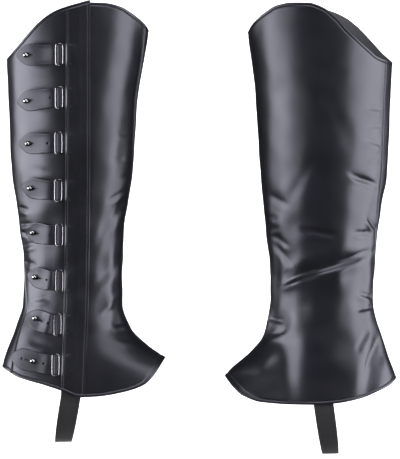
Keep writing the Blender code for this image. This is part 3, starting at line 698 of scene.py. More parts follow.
def columns_between(cover, first, last, steps, fine_first=False, fine_last=False):
    """Lines of angles from one line down the panel to the next, close together beside a fine edge."""
    hem = cover.hem_height(first)
    height = hem + LEVELS * (cover.top_height(first) - hem)
    towards = np.sign(np.mean(last - first))
    head_lines, tail_lines = EDGE if fine_first else EDGE[:1], EDGE[::-1] if fine_last else EDGE[:1]
    head = [first + towards * cover.stand_off(first, height, distance) for distance in head_lines]
    tail = [last - towards * cover.stand_off(last, height, distance) for distance in tail_lines]
    return head + [head[-1] + (tail[0] - head[-1]) * k / steps for k in range(1, steps)] + tail


def row_at(distance):
    """The row or column of the grid that lies this far from its edge."""
    return int(np.argmin(np.abs(EDGE - distance)))


print("rows up a panel:", len(LEVELS), "and the row 4 mm from an edge is", row_at(4.0))

# %% [markdown]
# ## The profile of an edge
# A free edge is turned under and stitched: it is a little thicker, rounds off at the very end and dips
# at the stitches. A sewn edge rolls inwards to meet its neighbour in the seam. Both are written as
# the height of the face at a distance from the edge, so that any panel can use them.

# %% Edge profiles
HEM_STITCHES = 3.4  # distances of the stitches from the edge
SEAM_STITCHES = 4.0
PLACKET_HEEL_STITCHES = 2.5
PLACKET_TOE_STITCHES = 3.0
GROOVE_WIDTH = 0.6
BAND, ROUNDING, GROOVE = 0.22, 0.25, 0.45
SEAM_ROLL, SEAM_SHOULDER, SEAM_GROOVE = 1.0, 0.12, 0.2
PLACKET_SHARE = 0.4


def ridge(distance, middle, width):
    return np.exp(-(((distance - middle) / width) ** 2))


def turned_edge(distance, stitches_at):
    """The raised, rounded band of a turned edge, and the groove that its stitches pull."""
    band = BAND * rise(distance, 0, 0.8) * (1 - rise(distance, stitches_at - 0.7, stitches_at))
    rounded = -ROUNDING * (1 - rise(distance, 0, 0.7))
    return band + rounded - GROOVE * ridge(distance, stitches_at, GROOVE_WIDTH)


def sewn_edge(distance):
    """The shoulder that rolls down into a seam."""
    return -SEAM_ROLL * (1 - rise(distance, 0, 1.9)) + SEAM_SHOULDER * ridge(distance, 2.2, 0.9)


def stitched_seam(distance):
    return sewn_edge(distance) - SEAM_GROOVE * ridge(distance, SEAM_STITCHES, GROOVE_WIDTH)


def placket_heel_edge(distance):
    return PLACKET_SHARE * turned_edge(distance, PLACKET_HEEL_STITCHES)


def placket_toe_edge(distance):
    return PLACKET_SHARE * turned_edge(distance, PLACKET_TOE_STITCHES)


def plain_edge(distance):
    return 0 * distance


print("a turned edge stands", round(float(turned_edge(np.array(1.2), HEM_STITCHES)), 2), "mm proud")

# %% [markdown]
# ## Cutting the panels
# A cover has an inner panel on the plain side, a back panel and a front panel on the buckled side, and
# a placket, the straight band that hides the lap. Each is the same surface between two lines, so one
# function makes all four, given the lines, how far the piece is lifted over what lies under it, and
# what is done to its two long edges. The lines of stitches are picked from the grid at the same time.

# %% The panel maker
Stitches = namedtuple("Stitches", "points outward")
stitch_lines = []


def keep_stitches(cover, points, outward):
    """Remembers a line of stitches to be sewn later, with the way out of the leather at each point."""
    stitch_lines.append(Stitches(cover.in_pair(points), cover.facing(outward)))


def make_panel(cover, part, columns, raised, edges, long_stitches, visible, peak=0.0):
    """One cut of leather. edges are the profiles of its long edges, long_stitches the columns that are sewn,
    visible the columns where the hem's and top's stitches show, and peak how far a top corner stands up."""
    angle = np.stack(columns, 1)
    height = row_heights(cover, angle)
    widths = np.linalg.norm(np.diff(cover.base(angle, height), axis=1), axis=2)
    from_first = np.concatenate([np.zeros((len(angle), 1)), np.cumsum(widths, axis=1)], 1)
    width = from_first[:, -1:]
    from_hem = (height - cover.hem_height(angle)) / np.interp(angle, TURNS, cover.hem.lean)
    from_top = (cover.top_height(angle) - height) / np.interp(angle, TURNS, cover.top.lean)
    height = height + peak * rise(LEVELS, 0.9, 0.97)[:, None] * (from_first / width) ** 2
    profile = turned_edge(from_hem, HEM_STITCHES) + turned_edge(from_top, HEM_STITCHES)
    profile = profile + edges[0](from_first) + edges[1](width - from_first)
    lift = raised(angle, height, from_first)
    outer = cover.place(angle, height, lift + profile)
    outward = cover.normal(angle, height)
    seam, hem = row_at(SEAM_STITCHES), row_at(HEM_STITCHES)
    for column in long_stitches:
        keep_stitches(cover, outer[seam:-seam, column], outward[seam:-seam, column])
    for row in (hem, -1 - hem):
        keep_stitches(cover, outer[row, visible], outward[row, visible])
    made = shell(cover, part, "leather", outer, cover.place(angle, height, lift - WALL),
                 (LEATHER, BACKING, CUT_EDGE))
    print(made.name, len(made.data.polygons), "faces,", round(float(width.max())), "mm wide")


print("the panel maker is ready")

# %% The panels of both covers
PLACKET_WIDTH = 27.5
PLACKET_PEAK = 2.8
FRONT_PANEL_TUCK = 12.0
BACK_PANEL_TUCK = 20.0
LAP_RAMP_ANGLE = math.radians(50)
TAB_ROOM = 0.4
ROOT_SWELL = 1.0
ROOT_SIDES = (8, 13.5)  # the swell falls off between these distances from the middle of a tab
SEAM_SLIT = 0.03


def over_roots(height, from_heel_edge):
    """The room that the placket leaves over the roots of the tabs, where the band swells."""
    swell = sum(1 - rise(np.abs(height - tab.slide_height), *ROOT_SIDES) for tab in TABS)
    inwards = rise(from_heel_edge, 0, 1.8) * (1 - rise(from_heel_edge, 5, 15))
    return TAB_ROOM + ROOT_SWELL * swell * inwards


def make_panels(cover):
    front_seam = np.radians(seam_front(LEVELS))
    rear_seam = math.pi + np.radians(seam_rear(LEVELS))
    slit = cover.stand_off(front_seam, LEVELS * TYPICAL_HEIGHT, SEAM_SLIT)
    back_edge, front_edge, placket_heel, placket_toe = [
        cover.closure_angle(LEVELS, beyond)
        for beyond in (BACK_PANEL_TUCK, FRONT_PANEL_TUCK, 0, PLACKET_WIDTH)]
    ramp = placket_toe - LAP_RAMP_ANGLE

    def flat_lift(angle, height, from_first):
        return 0 * angle

    def front_lift(angle, height, from_first):
        return LAP * ease((angle - ramp[:, None]) / (back_edge - ramp)[:, None])

    def placket_lift(angle, height, from_first):
        swell = over_roots(height, from_first) * (1 - rise(from_first, 14, 20))
        return front_lift(angle, height, from_first) + LAP + swell

    inner = columns_between(cover, rear_seam + slit, 2 * math.pi + front_seam - slit, 96, True, True)
    back = columns_between(cover, rear_seam - slit, placket_heel, 44, True)
    back += columns_between(cover, placket_heel, back_edge, 8)[1:]
    front = columns_between(cover, front_seam + slit, placket_toe, 44, True)
    front += columns_between(cover, placket_toe, front_edge, 7)[1:]
    placket = columns_between(cover, placket_heel, placket_toe, 12, True, True)
    seam = row_at(SEAM_STITCHES)
    rows = [row_at(PLACKET_HEEL_STITCHES), -1 - row_at(PLACKET_TOE_STITCHES)]
    make_panel(cover, "inner_panel", inner, flat_lift, (sewn_edge, stitched_seam), [-1 - seam], slice(3, -3))
    make_panel(cover, "back_panel", back, flat_lift, (sewn_edge, plain_edge), [], slice(3, -8))
    make_panel(cover, "front_panel", front, front_lift, (stitched_seam, plain_edge), [seam], slice(3, -7))
    make_panel(cover, "placket", placket, placket_lift, (placket_heel_edge, placket_toe_edge), rows,
               slice(3, -3), PLACKET_PEAK)


for cover in COVERS:
    make_panels(cover)

# %% [markdown]
# ## The tabs
# A tab is one strap with a blunt point, cut from the same leather. It has a keyhole for its stud and a
# small spare hole, and its cut edge shows as a fine line. A flat outline with holes is best filled by
# triangulation, which keeps every edge exact. The flat strap is then laid on the leg: it comes from
# under the placket, ducks under the slide's outer bars, climbs over the middle one and runs to its stud.

# %% Tab outlines
TAB_ROOT_WIDTH = 22.4
TAB_SHOULDER_WIDTH = 24.6
TAB_POINT_LENGTH = 19.0
TAB_POINT_END = 0.7
TAB_BEYOND_HOLE = 14.5
TAB_TUCK = 10.0
HOLE_SPACING = 15.0
STUD_HOLE_RADIUS = 2.2
SPARE_HOLE_RADIUS = 1.1
SLIT_END = 8.6
SLIT_HALF_WIDTH = 0.32
TAB_LIFT = 0.4
# x of each tab's small holes
SPARE_HOLES = [(-23.5,), (-27.8,), (-30.6,), (-25.8,), (-27.4,), (-30.6,), (-29.8,), (-36, -62)]


def tab_half_width(from_tip):
    """Half a tab's width at a distance from its tip: a blunt point, a shoulder, then a slight taper."""
    share = np.clip(1 - from_tip / TAB_POINT_LENGTH, 0, 1)
    taper = ease((from_tip - TAB_POINT_LENGTH) / TAB_POINT_LENGTH)
    full = TAB_SHOULDER_WIDTH + (TAB_ROOT_WIDTH - TAB_SHOULDER_WIDTH) * taper
    return full / 2 * (1 - share**1.9) + TAB_POINT_END * share


def tab_outline(root, tip, inset):
    """The tab's cut line, as points all the way round, moved in by a small distance."""
    ahead = tip - root
    shares = np.unique(np.concatenate([np.linspace(0, 1, 58), 1 - np.geomspace(0.002, 0.06, 8)]))
    along = root + inset + (ahead - 2 * inset) * shares
    half = tab_half_width(tip - inset - along) - inset
    upper = np.stack([along, half], 1)
    return np.concatenate([upper, upper[::-1] * (1, -1)])


def keyhole(centre, grow, towards_tip):
    """A round hole with a slit that narrows away from it."""
    radius = STUD_HOLE_RADIUS + grow
    turns = np.linspace(0.22, 2 * math.pi - 0.22, 24)
    points = np.stack([np.cos(turns) * radius, np.sin(turns) * radius], 1)
    end, side = SLIT_END + grow, SLIT_HALF_WIDTH + grow * 0.7
    points = np.concatenate([points, [(end, -side), (end + 0.3, 0.0), (end, side)]])
    return points * (1 if towards_tip else -1, 1) + (centre, 0)


def round_hole(centre, grow):
    turns = np.linspace(0, 2 * math.pi, 15)[:-1]
    return np.stack([np.cos(turns), np.sin(turns)], 1) * (SPARE_HOLE_RADIUS + grow) + (centre, 0)


def inside(points, loop):
    """Whether each point is inside a closed loop."""
    x, y = points[:, :1], points[:, 1:]
    ax, ay = loop[:, 0], loop[:, 1]
    bx, by = np.roll(ax, -1), np.roll(ay, -1)
    crosses = (ay > y) != (by > y)
    with np.errstate(divide="ignore", invalid="ignore"):
        at = (bx - ax) * (y - ay) / (by - ay) + ax
    return (crosses & (x < at)).sum(1) % 2 == 1


print("a tab is", TAB_SHOULDER_WIDTH, "mm wide, with", len(tab_outline(0, 50, 0)), "outline points")

# %% Filling a flat tab
EDGE_ROUND = 0.28
SPACING = 1.15
DUCK_REACH = 3.4  # the grid is finer this far either way from the slide's middle bar


def flat_tab(root, tip, loops, inner_loops):
    """The tab's flat top as triangles. The cut line comes first in the points, then a line just inside it."""
    xs = np.unique(np.concatenate([np.arange(root, tip, SPACING), np.linspace(-DUCK_REACH, DUCK_REACH, 24)]))
    ys = np.arange(-12, 12.1, SPACING)
    grid = np.stack(np.meshgrid(xs, ys, indexing="ij"), -1).reshape(-1, 2)
    keep = inside(grid, tab_outline(root, tip, EDGE_ROUND + 0.45))
    for loop in inner_loops[1:]:
        keep &= ~inside(grid, loop.mean(0) + (loop - loop.mean(0)) * 1.12)
    edges, start = [], 0
    for loop in loops + inner_loops:
        ring = np.arange(len(loop)) + start
        edges += np.stack([ring, np.roll(ring, -1)], 1).tolist()
        start += len(loop)
    points = np.concatenate(loops + inner_loops + [grid[keep]])
    found = delaunay_2d_cdt([Vector(point) for point in points], edges, [], 0, 1e-5)
    points, faces = np.array([tuple(v) for v in found[0]]), np.array(found[2])
    middles = points[faces].mean(1)
    keep = inside(middles, loops[0])
    for loop in loops[1:]:
        keep &= ~inside(middles, loop)
    on_cut = [bool(origin and min(origin) < sum(map(len, loops))) for origin in found[3]]
    return points, faces[keep], np.array(on_cut)


def border(faces):
    """The directed edges that belong to one face only."""
    edges = np.concatenate([faces[:, [0, 1]], faces[:, [1, 2]], faces[:, [2, 0]]]).tolist()
    known = {tuple(edge) for edge in edges}
    return [(a, b) for a, b in edges if (b, a) not in known]


print("the cut edge is rounded by", EDGE_ROUND, "mm")

# %% Laying the tabs on the leg
BOW_START = 5.5
BOW_SKEW = 0.55  # below 1 the bow is highest before its middle
DUCK, HUMP = 1.15, 1.1  # how far the underside and the top climb over the slide's middle bar
TIP_CURL = 0.9


def tab_levels(cover, tab, along):
    """The underside and the top of a tab over the leather, where it passes its slide and bows out."""
    bow_end = cover.run(tab) - STUD_HOLE_RADIUS - 2
    share = np.clip((along - BOW_START) / (bow_end - BOW_START), 0, 1)
    bow = tab.bow * np.sin(math.pi * share**BOW_SKEW) ** 2
    stand = TAB_LIFT + 0.5 * rise(along, 5, 9) + bow
    away = np.abs(along)
    return stand + DUCK * (1 - rise(away, 0.75, 1.75)), stand + WALL + HUMP * (1 - rise(away, 0.9, 2.6))


def make_tab(cover, number, tab):
    run = cover.run(tab)
    tip = run + TAB_BEYOND_HOLE + tab.holes_beyond * HOLE_SPACING
    root = -(float(placket_x(tab.slide_height)) - tab.slide_x + TAB_TUCK)
    small = [run * (tab.slide_x - x) / (tab.slide_x - tab.stud_x) for x in SPARE_HOLES[number - 1]]

    def cut_lines(inset):
        holes = [keyhole(run, inset, tab.holes_beyond > 0)] + [round_hole(at, inset) for at in small]
        return [tab_outline(root, tip, inset)] + holes

    flat, faces, on_cut = flat_tab(root, tip, cut_lines(0), cut_lines(EDGE_ROUND))
    along, across = flat.T
    under, over = tab_levels(cover, tab, along)
    rounding = EDGE_ROUND * on_cut
    curl = TIP_CURL * rise(along, run - 2, tip + 6)
    top = cover.on_tab(tab, along, across, over - rounding + curl)
    bottom = cover.on_tab(tab, along, across, under + rounding + curl)
    rim = [(b, a) for a, b in border(faces)]
    all_faces, finish_of_face = walled(faces, len(flat), rim)
    add_piece(cover, f"tab_{number}", "leather", np.concatenate([top, bottom]), all_faces,
              (STRAP_LEATHER, BACKING, CUT_EDGE), finish_of_face, sharp=55)
    return tip - root


for cover in COVERS:
    lengths = [make_tab(cover, number, tab) for number, tab in enumerate(TABS, 1)]
    print(cover.name, "tab lengths in mm:", [round(length, 1) for length in lengths])

# %% [markdown]
# ## The slides
# A three-bar slide is bent from round wire: a frame with rounded corners and a bar across its middle,
# which the tab passes over. A tube swept along a closed path gives the frame, and a straight tube
# the bar. Both follow the leg's curve, because every point of the tube is laid on the surface.

# %% Wire slides
WIRE_RADIUS = 0.45
SLIDE_LEVEL = 2.3
SLIDE_WIDTH, SLIDE_HEIGHT, SLIDE_CORNER = 7.8, 24.6, 2.4
BAR_REACH = 12.5
BAR_DIP = 1.35  # the middle bar lies this much nearer the leather than the frame
TUBE_SIDES = 10


def rounded_frame(width, height, radius):
    """The middle line of the frame, whose sides bow out a little."""
    path = []
    for across, up, start in ((1, 1, 0), (-1, 1, 90), (-1, -1, 180), (1, -1, 270)):
        for turn in np.radians(range(start, start + 91, 15)):
            path.append((across * (width / 2 - radius) + radius * math.cos(turn),
                         up * (height / 2 - radius) + radius * math.sin(turn)))
    path = np.array(path)
    dense = []
    for here, there in zip(path, np.roll(path, -1, axis=0)):
        steps = max(1, int(np.linalg.norm(there - here) / 1.4))
        dense += [here + (there - here) * k / steps for k in range(steps)]
    x, y = np.array(dense).T
    bow = 0.35 * np.cos(math.pi * y / height) * np.sign(x)
    bulge = 0.45 * np.cos(math.pi * x / width) * np.sign(y)
    return np.stack([x + bow, y + bulge], 1)


def tube(path, radius, closed):
    """A round tube in the plane of its path, as points along, upwards and out, and its faces."""
    ahead = np.roll(path, -1, axis=0) - np.roll(path, 1, axis=0) if closed else np.gradient(path, axis=0)
    ahead = ahead / np.linalg.norm(ahead, axis=1, keepdims=True)
    aside = np.stack([-ahead[:, 1], ahead[:, 0]], 1)
    turns = 2 * math.pi * np.arange(TUBE_SIDES) / TUBE_SIDES
    flat = path[:, None] + radius * aside[:, None] * np.cos(turns)[:, None]
    out = np.broadcast_to(radius * np.sin(turns), flat.shape[:2])
    points = np.concatenate([flat, out[..., None]], 2).reshape(-1, 3)
    faces = grid_faces(len(path), TUBE_SIDES, closed, True).tolist()
    if not closed:
        ends = np.arange(TUBE_SIDES), np.arange(len(points) - 1, len(points) - TUBE_SIDES - 1, -1)
        faces += [end.tolist() for end in ends]
    return points, faces


def make_slide(cover, number, tab):
    frame_points, faces = tube(rounded_frame(SLIDE_WIDTH, SLIDE_HEIGHT, SLIDE_CORNER), WIRE_RADIUS, True)
    end = np.linspace(11.1, BAR_REACH, 7)
    up = np.concatenate([-end[::-1], np.linspace(-8, 8, 7), end])
    bar_points, bar_faces = tube(np.column_stack([0 * up, up]), WIRE_RADIUS * 0.95, False)
    bar_points[:, 2] -= BAR_DIP * (1 - rise(np.abs(bar_points[:, 1]), 11.3, 12.3))
    faces += [[len(frame_points) + v for v in face] for face in bar_faces]
    along, upwards, out = np.concatenate([frame_points, bar_points]).T
    laid = cover.beside(tab.slide_x, tab.slide_height, along, upwards, SLIDE_LEVEL + out)
    return add_piece(cover, f"slide_{number}", "wire", laid, faces, (NICKEL,), sharp=60)


for cover in COVERS:
    slides = [make_slide(cover, number, tab) for number, tab in enumerate(TABS, 1)]
    print(cover.name, "slides:", len(slides), "faces each:", len(slides[0].data.polygons))

# %% [markdown]
# ## The studs
# Each stud is turned metal: a foot in the back panel, a neck that fits the keyhole, a thin washer and a
# ball that the tab is pushed over. A turned part is one profile spun round its axis, with its end
# points on the axis, so that both poles are closed.

# %% Ball studs
STUD_SIDES = 26
STUD_FOOT, STUD_TOP = 0.3, 7.4
# radius and level, from the foot past the neck and the washer to the top of the ball
STUD_PROFILE = [(1.5, STUD_FOOT), (1.5, 1.72), (2.55, 1.74), (2.65, 1.84), (2.5, 1.94)]
STUD_PROFILE += [(3.15 * math.cos(t), 4.45 + 2.95 * math.sin(t)) for t in np.radians(np.linspace(-62, 84, 13))]


def make_stud(cover, number, tab):
    run = cover.run(tab)
    foot, ahead, aside = [cover.on_tab(tab, np.array(run + along), np.array(across), np.array(0.0))
                          for along, across in ((0.0, 0.0), (1.0, 0.0), (0.0, 1.0))]
    ahead = (ahead - foot) / np.linalg.norm(ahead - foot)
    outward = np.cross(aside - foot, ahead)
    outward = outward / np.linalg.norm(outward) * (-1 if outward[1] > 0 else 1)
    aside = np.cross(outward, ahead)
    turns = 2 * math.pi * np.arange(STUD_SIDES) / STUD_SIDES
    round_it = ahead * np.cos(turns)[:, None] + aside * np.sin(turns)[:, None]
    rings = [foot + radius * round_it + level * outward for radius, level in STUD_PROFILE]
    points = np.concatenate(rings + [[foot + STUD_FOOT * outward], [foot + STUD_TOP * outward]])
    faces = grid_faces(len(STUD_PROFILE), STUD_SIDES, False, True).tolist()
    last = (len(STUD_PROFILE) - 1) * STUD_SIDES
    for k in range(STUD_SIDES):
        after = (k + 1) % STUD_SIDES
        faces += [(k, after, len(points) - 2), (last + after, last + k, len(points) - 1)]
    return add_piece(cover, f"stud_{number}", "ball", points, faces, (NICKEL,), sharp=60)


for cover in COVERS:
    studs = [make_stud(cover, number, tab) for number, tab in enumerate(TABS, 1)]
    print(cover.name, "studs:", len(studs), "faces each:", len(studs[0].data.polygons))

# %% [markdown]
# ## The stirrup
# The strap under the foot is one length of woven elastic, sewn inside the hem on both sides. Its
# middle line goes down, under and up again with a slight twist, and its own map, in millimetres,
# tells the ribs of the weave where to run.

# %% Elastic stirrups
STIRRUP_THICKNESS = 1.5
STIRRUP_TUCK = 14.0
STIRRUP_CLEARANCE = 1.1
STIRRUP_TWIST = math.radians(28)
TUCKED_ROWS = 8
HANGING_ROWS = 73
# from the middle of the strap to its edge, share of the thickness there
HALF_SECTION = [(0, 1), (3, 1), (6, 1), (9, 1), (10.4, 1), (10.85, 0.75), (11, 0.35)]
STIRRUP_SECTION = np.array([(-x, share) for x, share in HALF_SECTION[:0:-1]] + HALF_SECTION, float)
Stirrup = namedtuple("Stirrup", "drop top_x bottom_x")
STIRRUPS = {"left": Stirrup(51.5, -5.5, -14.5), "right": Stirrup(57, -3, -11)}


def stirrup_line(cover, stirrup):
    """The strap's middle line and its width directions."""
    seated = -WALL - STIRRUP_CLEARANCE - STIRRUP_THICKNESS / 2
    tucked = []
    for side in (1, -1):
        angle = side * float(cover.angle_of_x(stirrup.top_x, 20.0))
        tuck = np.linspace(STIRRUP_TUCK, 0, TUCKED_ROWS + 1)
        tucked.append(cover.place(angle, float(cover.hem_height(angle)) + tuck, seated))
    turn = np.linspace(0, math.pi, HANGING_ROWS)
    share, dip = 0.5 - 0.5 * np.cos(turn)[:, None], np.sin(turn)
    x, y, z = (tucked[0][-1] * (1 - share) + tucked[1][-1] * share).T
    hanging = np.stack([x + (stirrup.bottom_x - stirrup.top_x) * dip, y, z - (stirrup.drop + z) * dip], 1)
    twist = STIRRUP_TWIST * np.concatenate([np.zeros(TUCKED_ROWS), dip**2, np.zeros(TUCKED_ROWS)])
    points = np.concatenate([tucked[0][:-1], hanging, tucked[1][-2::-1]])
    return points, np.stack([np.cos(twist), np.sin(twist), 0 * twist], 1)


def make_stirrup(cover):
    points, widths = stirrup_line(cover, STIRRUPS[cover.name])
    length = np.concatenate([[0], np.cumsum(np.linalg.norm(np.diff(points, axis=0), axis=1))])
    thick = np.cross(widths, np.gradient(points, axis=0))
    thick = thick / np.linalg.norm(thick, axis=1, keepdims=True)
    across, share = STIRRUP_SECTION.T
    middle = points[:, None] + widths[:, None] * across[:, None]
    half = thick[:, None] * (STIRRUP_THICKNESS / 2 * share)[:, None]
    made = shell(cover, "stirrup", "elastic", middle + half, middle - half, (WEBBING,) * 3)
    map_mm = np.stack(np.broadcast_arrays(across, length[:, None]), -1).reshape(-1, 2)
    corner = np.empty(len(made.data.loops), np.int32)
    made.data.loops.foreach_get("vertex_index", corner)
    made.data.uv_layers.new(name="cloth").data.foreach_set("uv", np.tile(map_mm, (2, 1))[corner].ravel())
    return length[-1]


for cover in COVERS:
    print(cover.name, "stirrup:", round(make_stirrup(cover), 1), "mm long")

# %% [markdown]
# ## The stitches
# About two thousand stitches hold the turned edges, the placket and the front seam. They repeat along
# lines, which is work for Geometry Nodes: the lines become curves, points are set along them at the
# stitch pitch, and a small spindle is put on each point, turned along the line and out of the leather.
# A short pair of stitches crosses the placket's edge wherever the root of a tab is caught under it.

# %% The lines to sew
TACK = np.linspace(0.9, 5.2, 4)  # distances of its points from the placket's edge
TACK_ASIDE = 10.6  # from the middle of the tab


def bar_tacks(cover):
    """Short lines across the placket's heel-side edge, at both edges of each tab's root."""
    for tab in TABS:
        for side in (-1, 1):
            height = tab.slide_height + side * TACK_ASIDE
            angle = cover.angle_of_x(float(placket_x(height)) + TACK, height)
            lift = 2 * LAP + over_roots(height, TACK)
            keep_stitches(cover, cover.place(angle, height, lift), cover.normal(angle, height))


for cover in COVERS:
    bar_tacks(cover)
length = sum(np.linalg.norm(np.diff(line.points, axis=0), axis=1).sum() for line in stitch_lines)
print("lines:", len(stitch_lines), "metres to sew:", round(float(length), 2))

# %% The stitch tree
PITCH, STITCH_LENGTH, STITCH_WIDTH = 3.7 * MM, 2.9 * MM, 0.62 * MM


def stitch_tree():
    """The tree that sews along curves, and the names by which a modifier knows its three sizes."""
    tree = bpy.data.node_groups.new("sewn_line", "GeometryNodeTree")
    tree.interface.new_socket("Geometry", in_out="INPUT", socket_type="NodeSocketGeometry")
    sizes = [tree.interface.new_socket(name, in_out="INPUT", socket_type="NodeSocketFloat")
             for name in ("Pitch", "Length", "Width")]
    tree.interface.new_socket("Geometry", in_out="OUTPUT", socket_type="NodeSocketGeometry")

    def add(kind, output, values=None, **settings):
        return new_node(tree, kind, settings, values).outputs[output]

    def halved(size):
        return add("ShaderNodeMath", "Value", {0: given[size], 1: 0.5}, operation="MULTIPLY")

    given = new_node(tree, "NodeGroupInput").outputs
    line = {"Curve": add("GeometryNodeMeshToCurve", "Curve", {"Mesh": given["Geometry"]})}
    line["Length"] = given["Pitch"]
    spaced = add("GeometryNodeResampleCurve", "Curve", line, mode="LENGTH")
    wide = halved("Width")
    size = add("ShaderNodeCombineXYZ", "Vector", {"X": wide, "Y": wide, "Z": halved("Length")})
    ball = add("GeometryNodeMeshUVSphere", "Mesh", {"Segments": 6, "Rings": 5, "Radius": 1.0})
    spindle = {"Geometry": ball, "Scale": size, "Rotation": (0, math.pi / 2, 0)}
    stitch = add("GeometryNodeTransform", "Geometry", spindle)
    out = add("GeometryNodeInputNamedAttribute", "Attribute", {"Name": "out"}, data_type="FLOAT_VECTOR")
    ways = {"Primary Axis": add("GeometryNodeInputTangent", "Tangent"), "Secondary Axis": out}
    turn = add("FunctionNodeAxesToRotation", "Rotation", ways, primary_axis="X", secondary_axis="Z")
    placed = {"Points": spaced, "Instance": stitch, "Rotation": turn}
    sewn = add("GeometryNodeInstanceOnPoints", "Instances", placed)
    real = add("GeometryNodeRealizeInstances", "Geometry", {"Geometry": sewn})
    smooth = add("GeometryNodeSetShadeSmooth", "Geometry", {"Geometry": real})
    threaded = add("GeometryNodeSetMaterial", "Geometry", {"Geometry": smooth, "Material": THREAD})
    new_node(tree, "NodeGroupOutput", None, {"Geometry": threaded})
    return tree, [size.identifier for size in sizes]


print("a stitch every", round(PITCH / MM, 1), "mm")

# %% Sewing
def sew(name, lines, *sizes):
    """One mesh of stitches along all the lines."""
    edges, start = [], 0
    for line in lines:
        edges += [(start + k, start + k + 1) for k in range(len(line.points) - 1)]
        start += len(line.points)
    path = bpy.data.meshes.new(name + "_path")
    path.from_pydata(np.concatenate([line.points for line in lines]).tolist(), edges, [])
    outward = np.concatenate([line.outward for line in lines])
    way_out = path.attributes.new("out", "FLOAT_VECTOR", "POINT")
    way_out.data.foreach_set("vector", outward.astype(np.float32).ravel())
    guide = in_scene(name + "_path", path)
    sewing = guide.modifiers.new("sewing", "NODES")
    sewing.node_group, sockets = stitch_tree()
    for socket, size in zip(sockets, sizes):
        sewing[socket] = size
    graph = bpy.context.evaluated_depsgraph_get()
    mesh = bpy.data.meshes.new_from_object(guide.evaluated_get(graph), depsgraph=graph)
    mesh.name = name
    bpy.data.objects.remove(guide, do_unlink=True)
    made = in_scene(name, mesh)
    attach(made, "root")
    return made


stitches = sew("stitches", stitch_lines, PITCH, STITCH_LENGTH, STITCH_WIDTH)
print("faces of stitches:", len(stitches.data.polygons))

# %% [markdown]
# ## The flat sizes of the tabs
# The flat area of each tab is worked out from the width and length that it was cut to, and is not kept.

# %% Flat sizes
# width and length in metres, flat area in square metres
FLAT_TAB_WIDTH, FLAT_TAB, FLAT_LONG_TAB = 0.0246, 0.066, 0.081
TAB_FILL = 0.9  # share of its rectangle that a tab covers
for cover in COVERS:
    for number, tab in enumerate(TABS, 1):
        length = FLAT_LONG_TAB if tab.holes_beyond else FLAT_TAB
        FLAT_TAB_WIDTH * length * TAB_FILL

# %% [markdown]
# ## The studio
# Glossy black leather is drawn almost wholly by what it reflects. Two large, slightly cool softboxes
# stand beside the pair, a little in front, and leave a dark band down the middle of each leg. A weaker
# one at the front left carries the left highlight on, as the lower half of each leg shows, and two more
# above light the top edges and the tabs.
# A pale floor runs up into a round wall, and is kept out of the reflections, which would go grey.

# %% Camera
VIEW_HEIGHT = 0.5324
DISTANCE = 8.0  # far away, so that the legs' sides stay as hidden as in the photograph
CAMERA_X, CAMERA_LEVEL = 0.0018, -0.1507
FILM = 36
camera_data = bpy.data.cameras.new("camera")
camera_data.sensor_fit = "AUTO"
camera_data.sensor_width = FILM
camera_data.lens = FILM * DISTANCE / VIEW_HEIGHT
camera_data.clip_end = 80
camera = in_scene("camera", camera_data)
camera.location = (CAMERA_X, -DISTANCE, CAMERA_LEVEL)
camera.rotation_euler = (math.pi / 2, 0, 0)
bpy.context.scene.camera = camera
print("lens:", round(camera_data.lens, 1), "mm")

# %% Lights
COOL = (0.93, 0.93, 1.0)
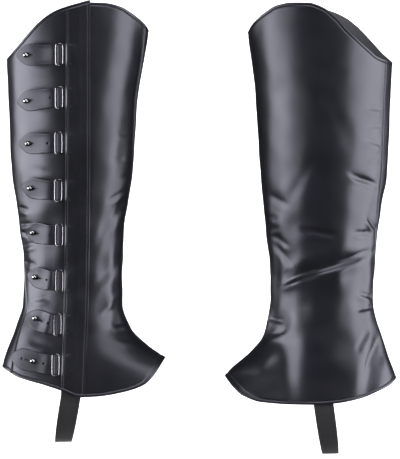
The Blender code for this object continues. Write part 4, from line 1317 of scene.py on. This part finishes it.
# place, aim, width and height, brightness as it is seen
LIGHTS = {
    "wall_of_light_left": ((-1.4, -0.38, -0.03), (0, -0.38, -0.03), (1.4, 0.8), 9.8),
    "wall_of_light_right": ((1.4, -0.38, -0.15), (0, -0.38, -0.15), (1.4, 1.2), 7.4),
    "front_left": ((-1.3, -1.25, -0.15), (0, 0, -0.15), (0.5, 0.5), 5.0),
    "upper_right": ((1.0, -0.95, 0.6), (0, 0, -0.25), (0.8, 0.6), 4.0),
    "overhead": ((0.15, -1.2, 1.45), (0, 0, -0.15), (1.6, 0.8), 7.0),
}
for name, (place, aim, size, strength) in LIGHTS.items():
    data = bpy.data.lights.new(name, "AREA")
    data.shape = "RECTANGLE"
    data.size, data.size_y = size
    data.energy = strength * math.pi * size[0] * size[1]
    data.color = COOL
    softbox = in_scene(name, data)
    softbox.location = place
    softbox.rotation_euler = (Vector(aim) - Vector(place)).to_track_quat("-Z", "Y").to_euler()
world = bpy.data.worlds.new("studio")
world.use_nodes = True
background = world.node_tree.nodes["Background"].inputs
background["Color"].default_value = (0.8, 0.83, 0.9, 1)
background["Strength"].default_value = 0.05
bpy.context.scene.world = world
bpy.context.scene.view_settings.view_transform = "Standard"
print("lights:", list(LIGHTS))

# %% Floor and wall
FLOOR_RADIUS, BEND_RADIUS, WALL_TOP = 20, 2, 23.7
SWEEP_SIDES = 48
FLOOR_GAP = 0.0005


def studio_sweep(floor_level):
    """A pale round floor that bends up into a wall all round, so that every side is seen against it."""
    bend = BEND_RADIUS * np.array([(math.sin(t), 1 - math.cos(t)) for t in np.linspace(0, math.pi / 2, 10)])
    profile = [(0.5, 0.0), *(bend + (FLOOR_RADIUS, 0)), (FLOOR_RADIUS + BEND_RADIUS, WALL_TOP)]
    turns = np.linspace(0, 2 * math.pi, SWEEP_SIDES + 1)[:-1]
    points = [(r * math.cos(t), r * math.sin(t), floor_level + z) for r, z in profile for t in turns]
    faces = grid_faces(len(profile), SWEEP_SIDES, False, True).tolist()
    faces += [(j, (j + 1) % SWEEP_SIDES, len(points)) for j in range(SWEEP_SIDES)]
    mesh = bpy.data.meshes.new("studio_sweep")
    mesh.from_pydata(points + [(0, 0, floor_level)], [], faces)
    mesh.shade_smooth()
    paper = Finish("paper_sweep", Specular_IOR_Level=0.0, Emission_Strength=0.9, Emission_Color=(1, 1, 1, 1))
    paper.tinted(paper.noise(6.0), (0.86, 0.86, 0.86), (0.88, 0.88, 0.88))
    mesh.materials.append(paper.material)
    sweep = in_scene("studio_sweep", mesh)
    sweep.visible_glossy = False


studio_sweep(cad_box[0][2] - FLOOR_GAP)
print("floor at", round(cad_box[0][2], 4), "m")
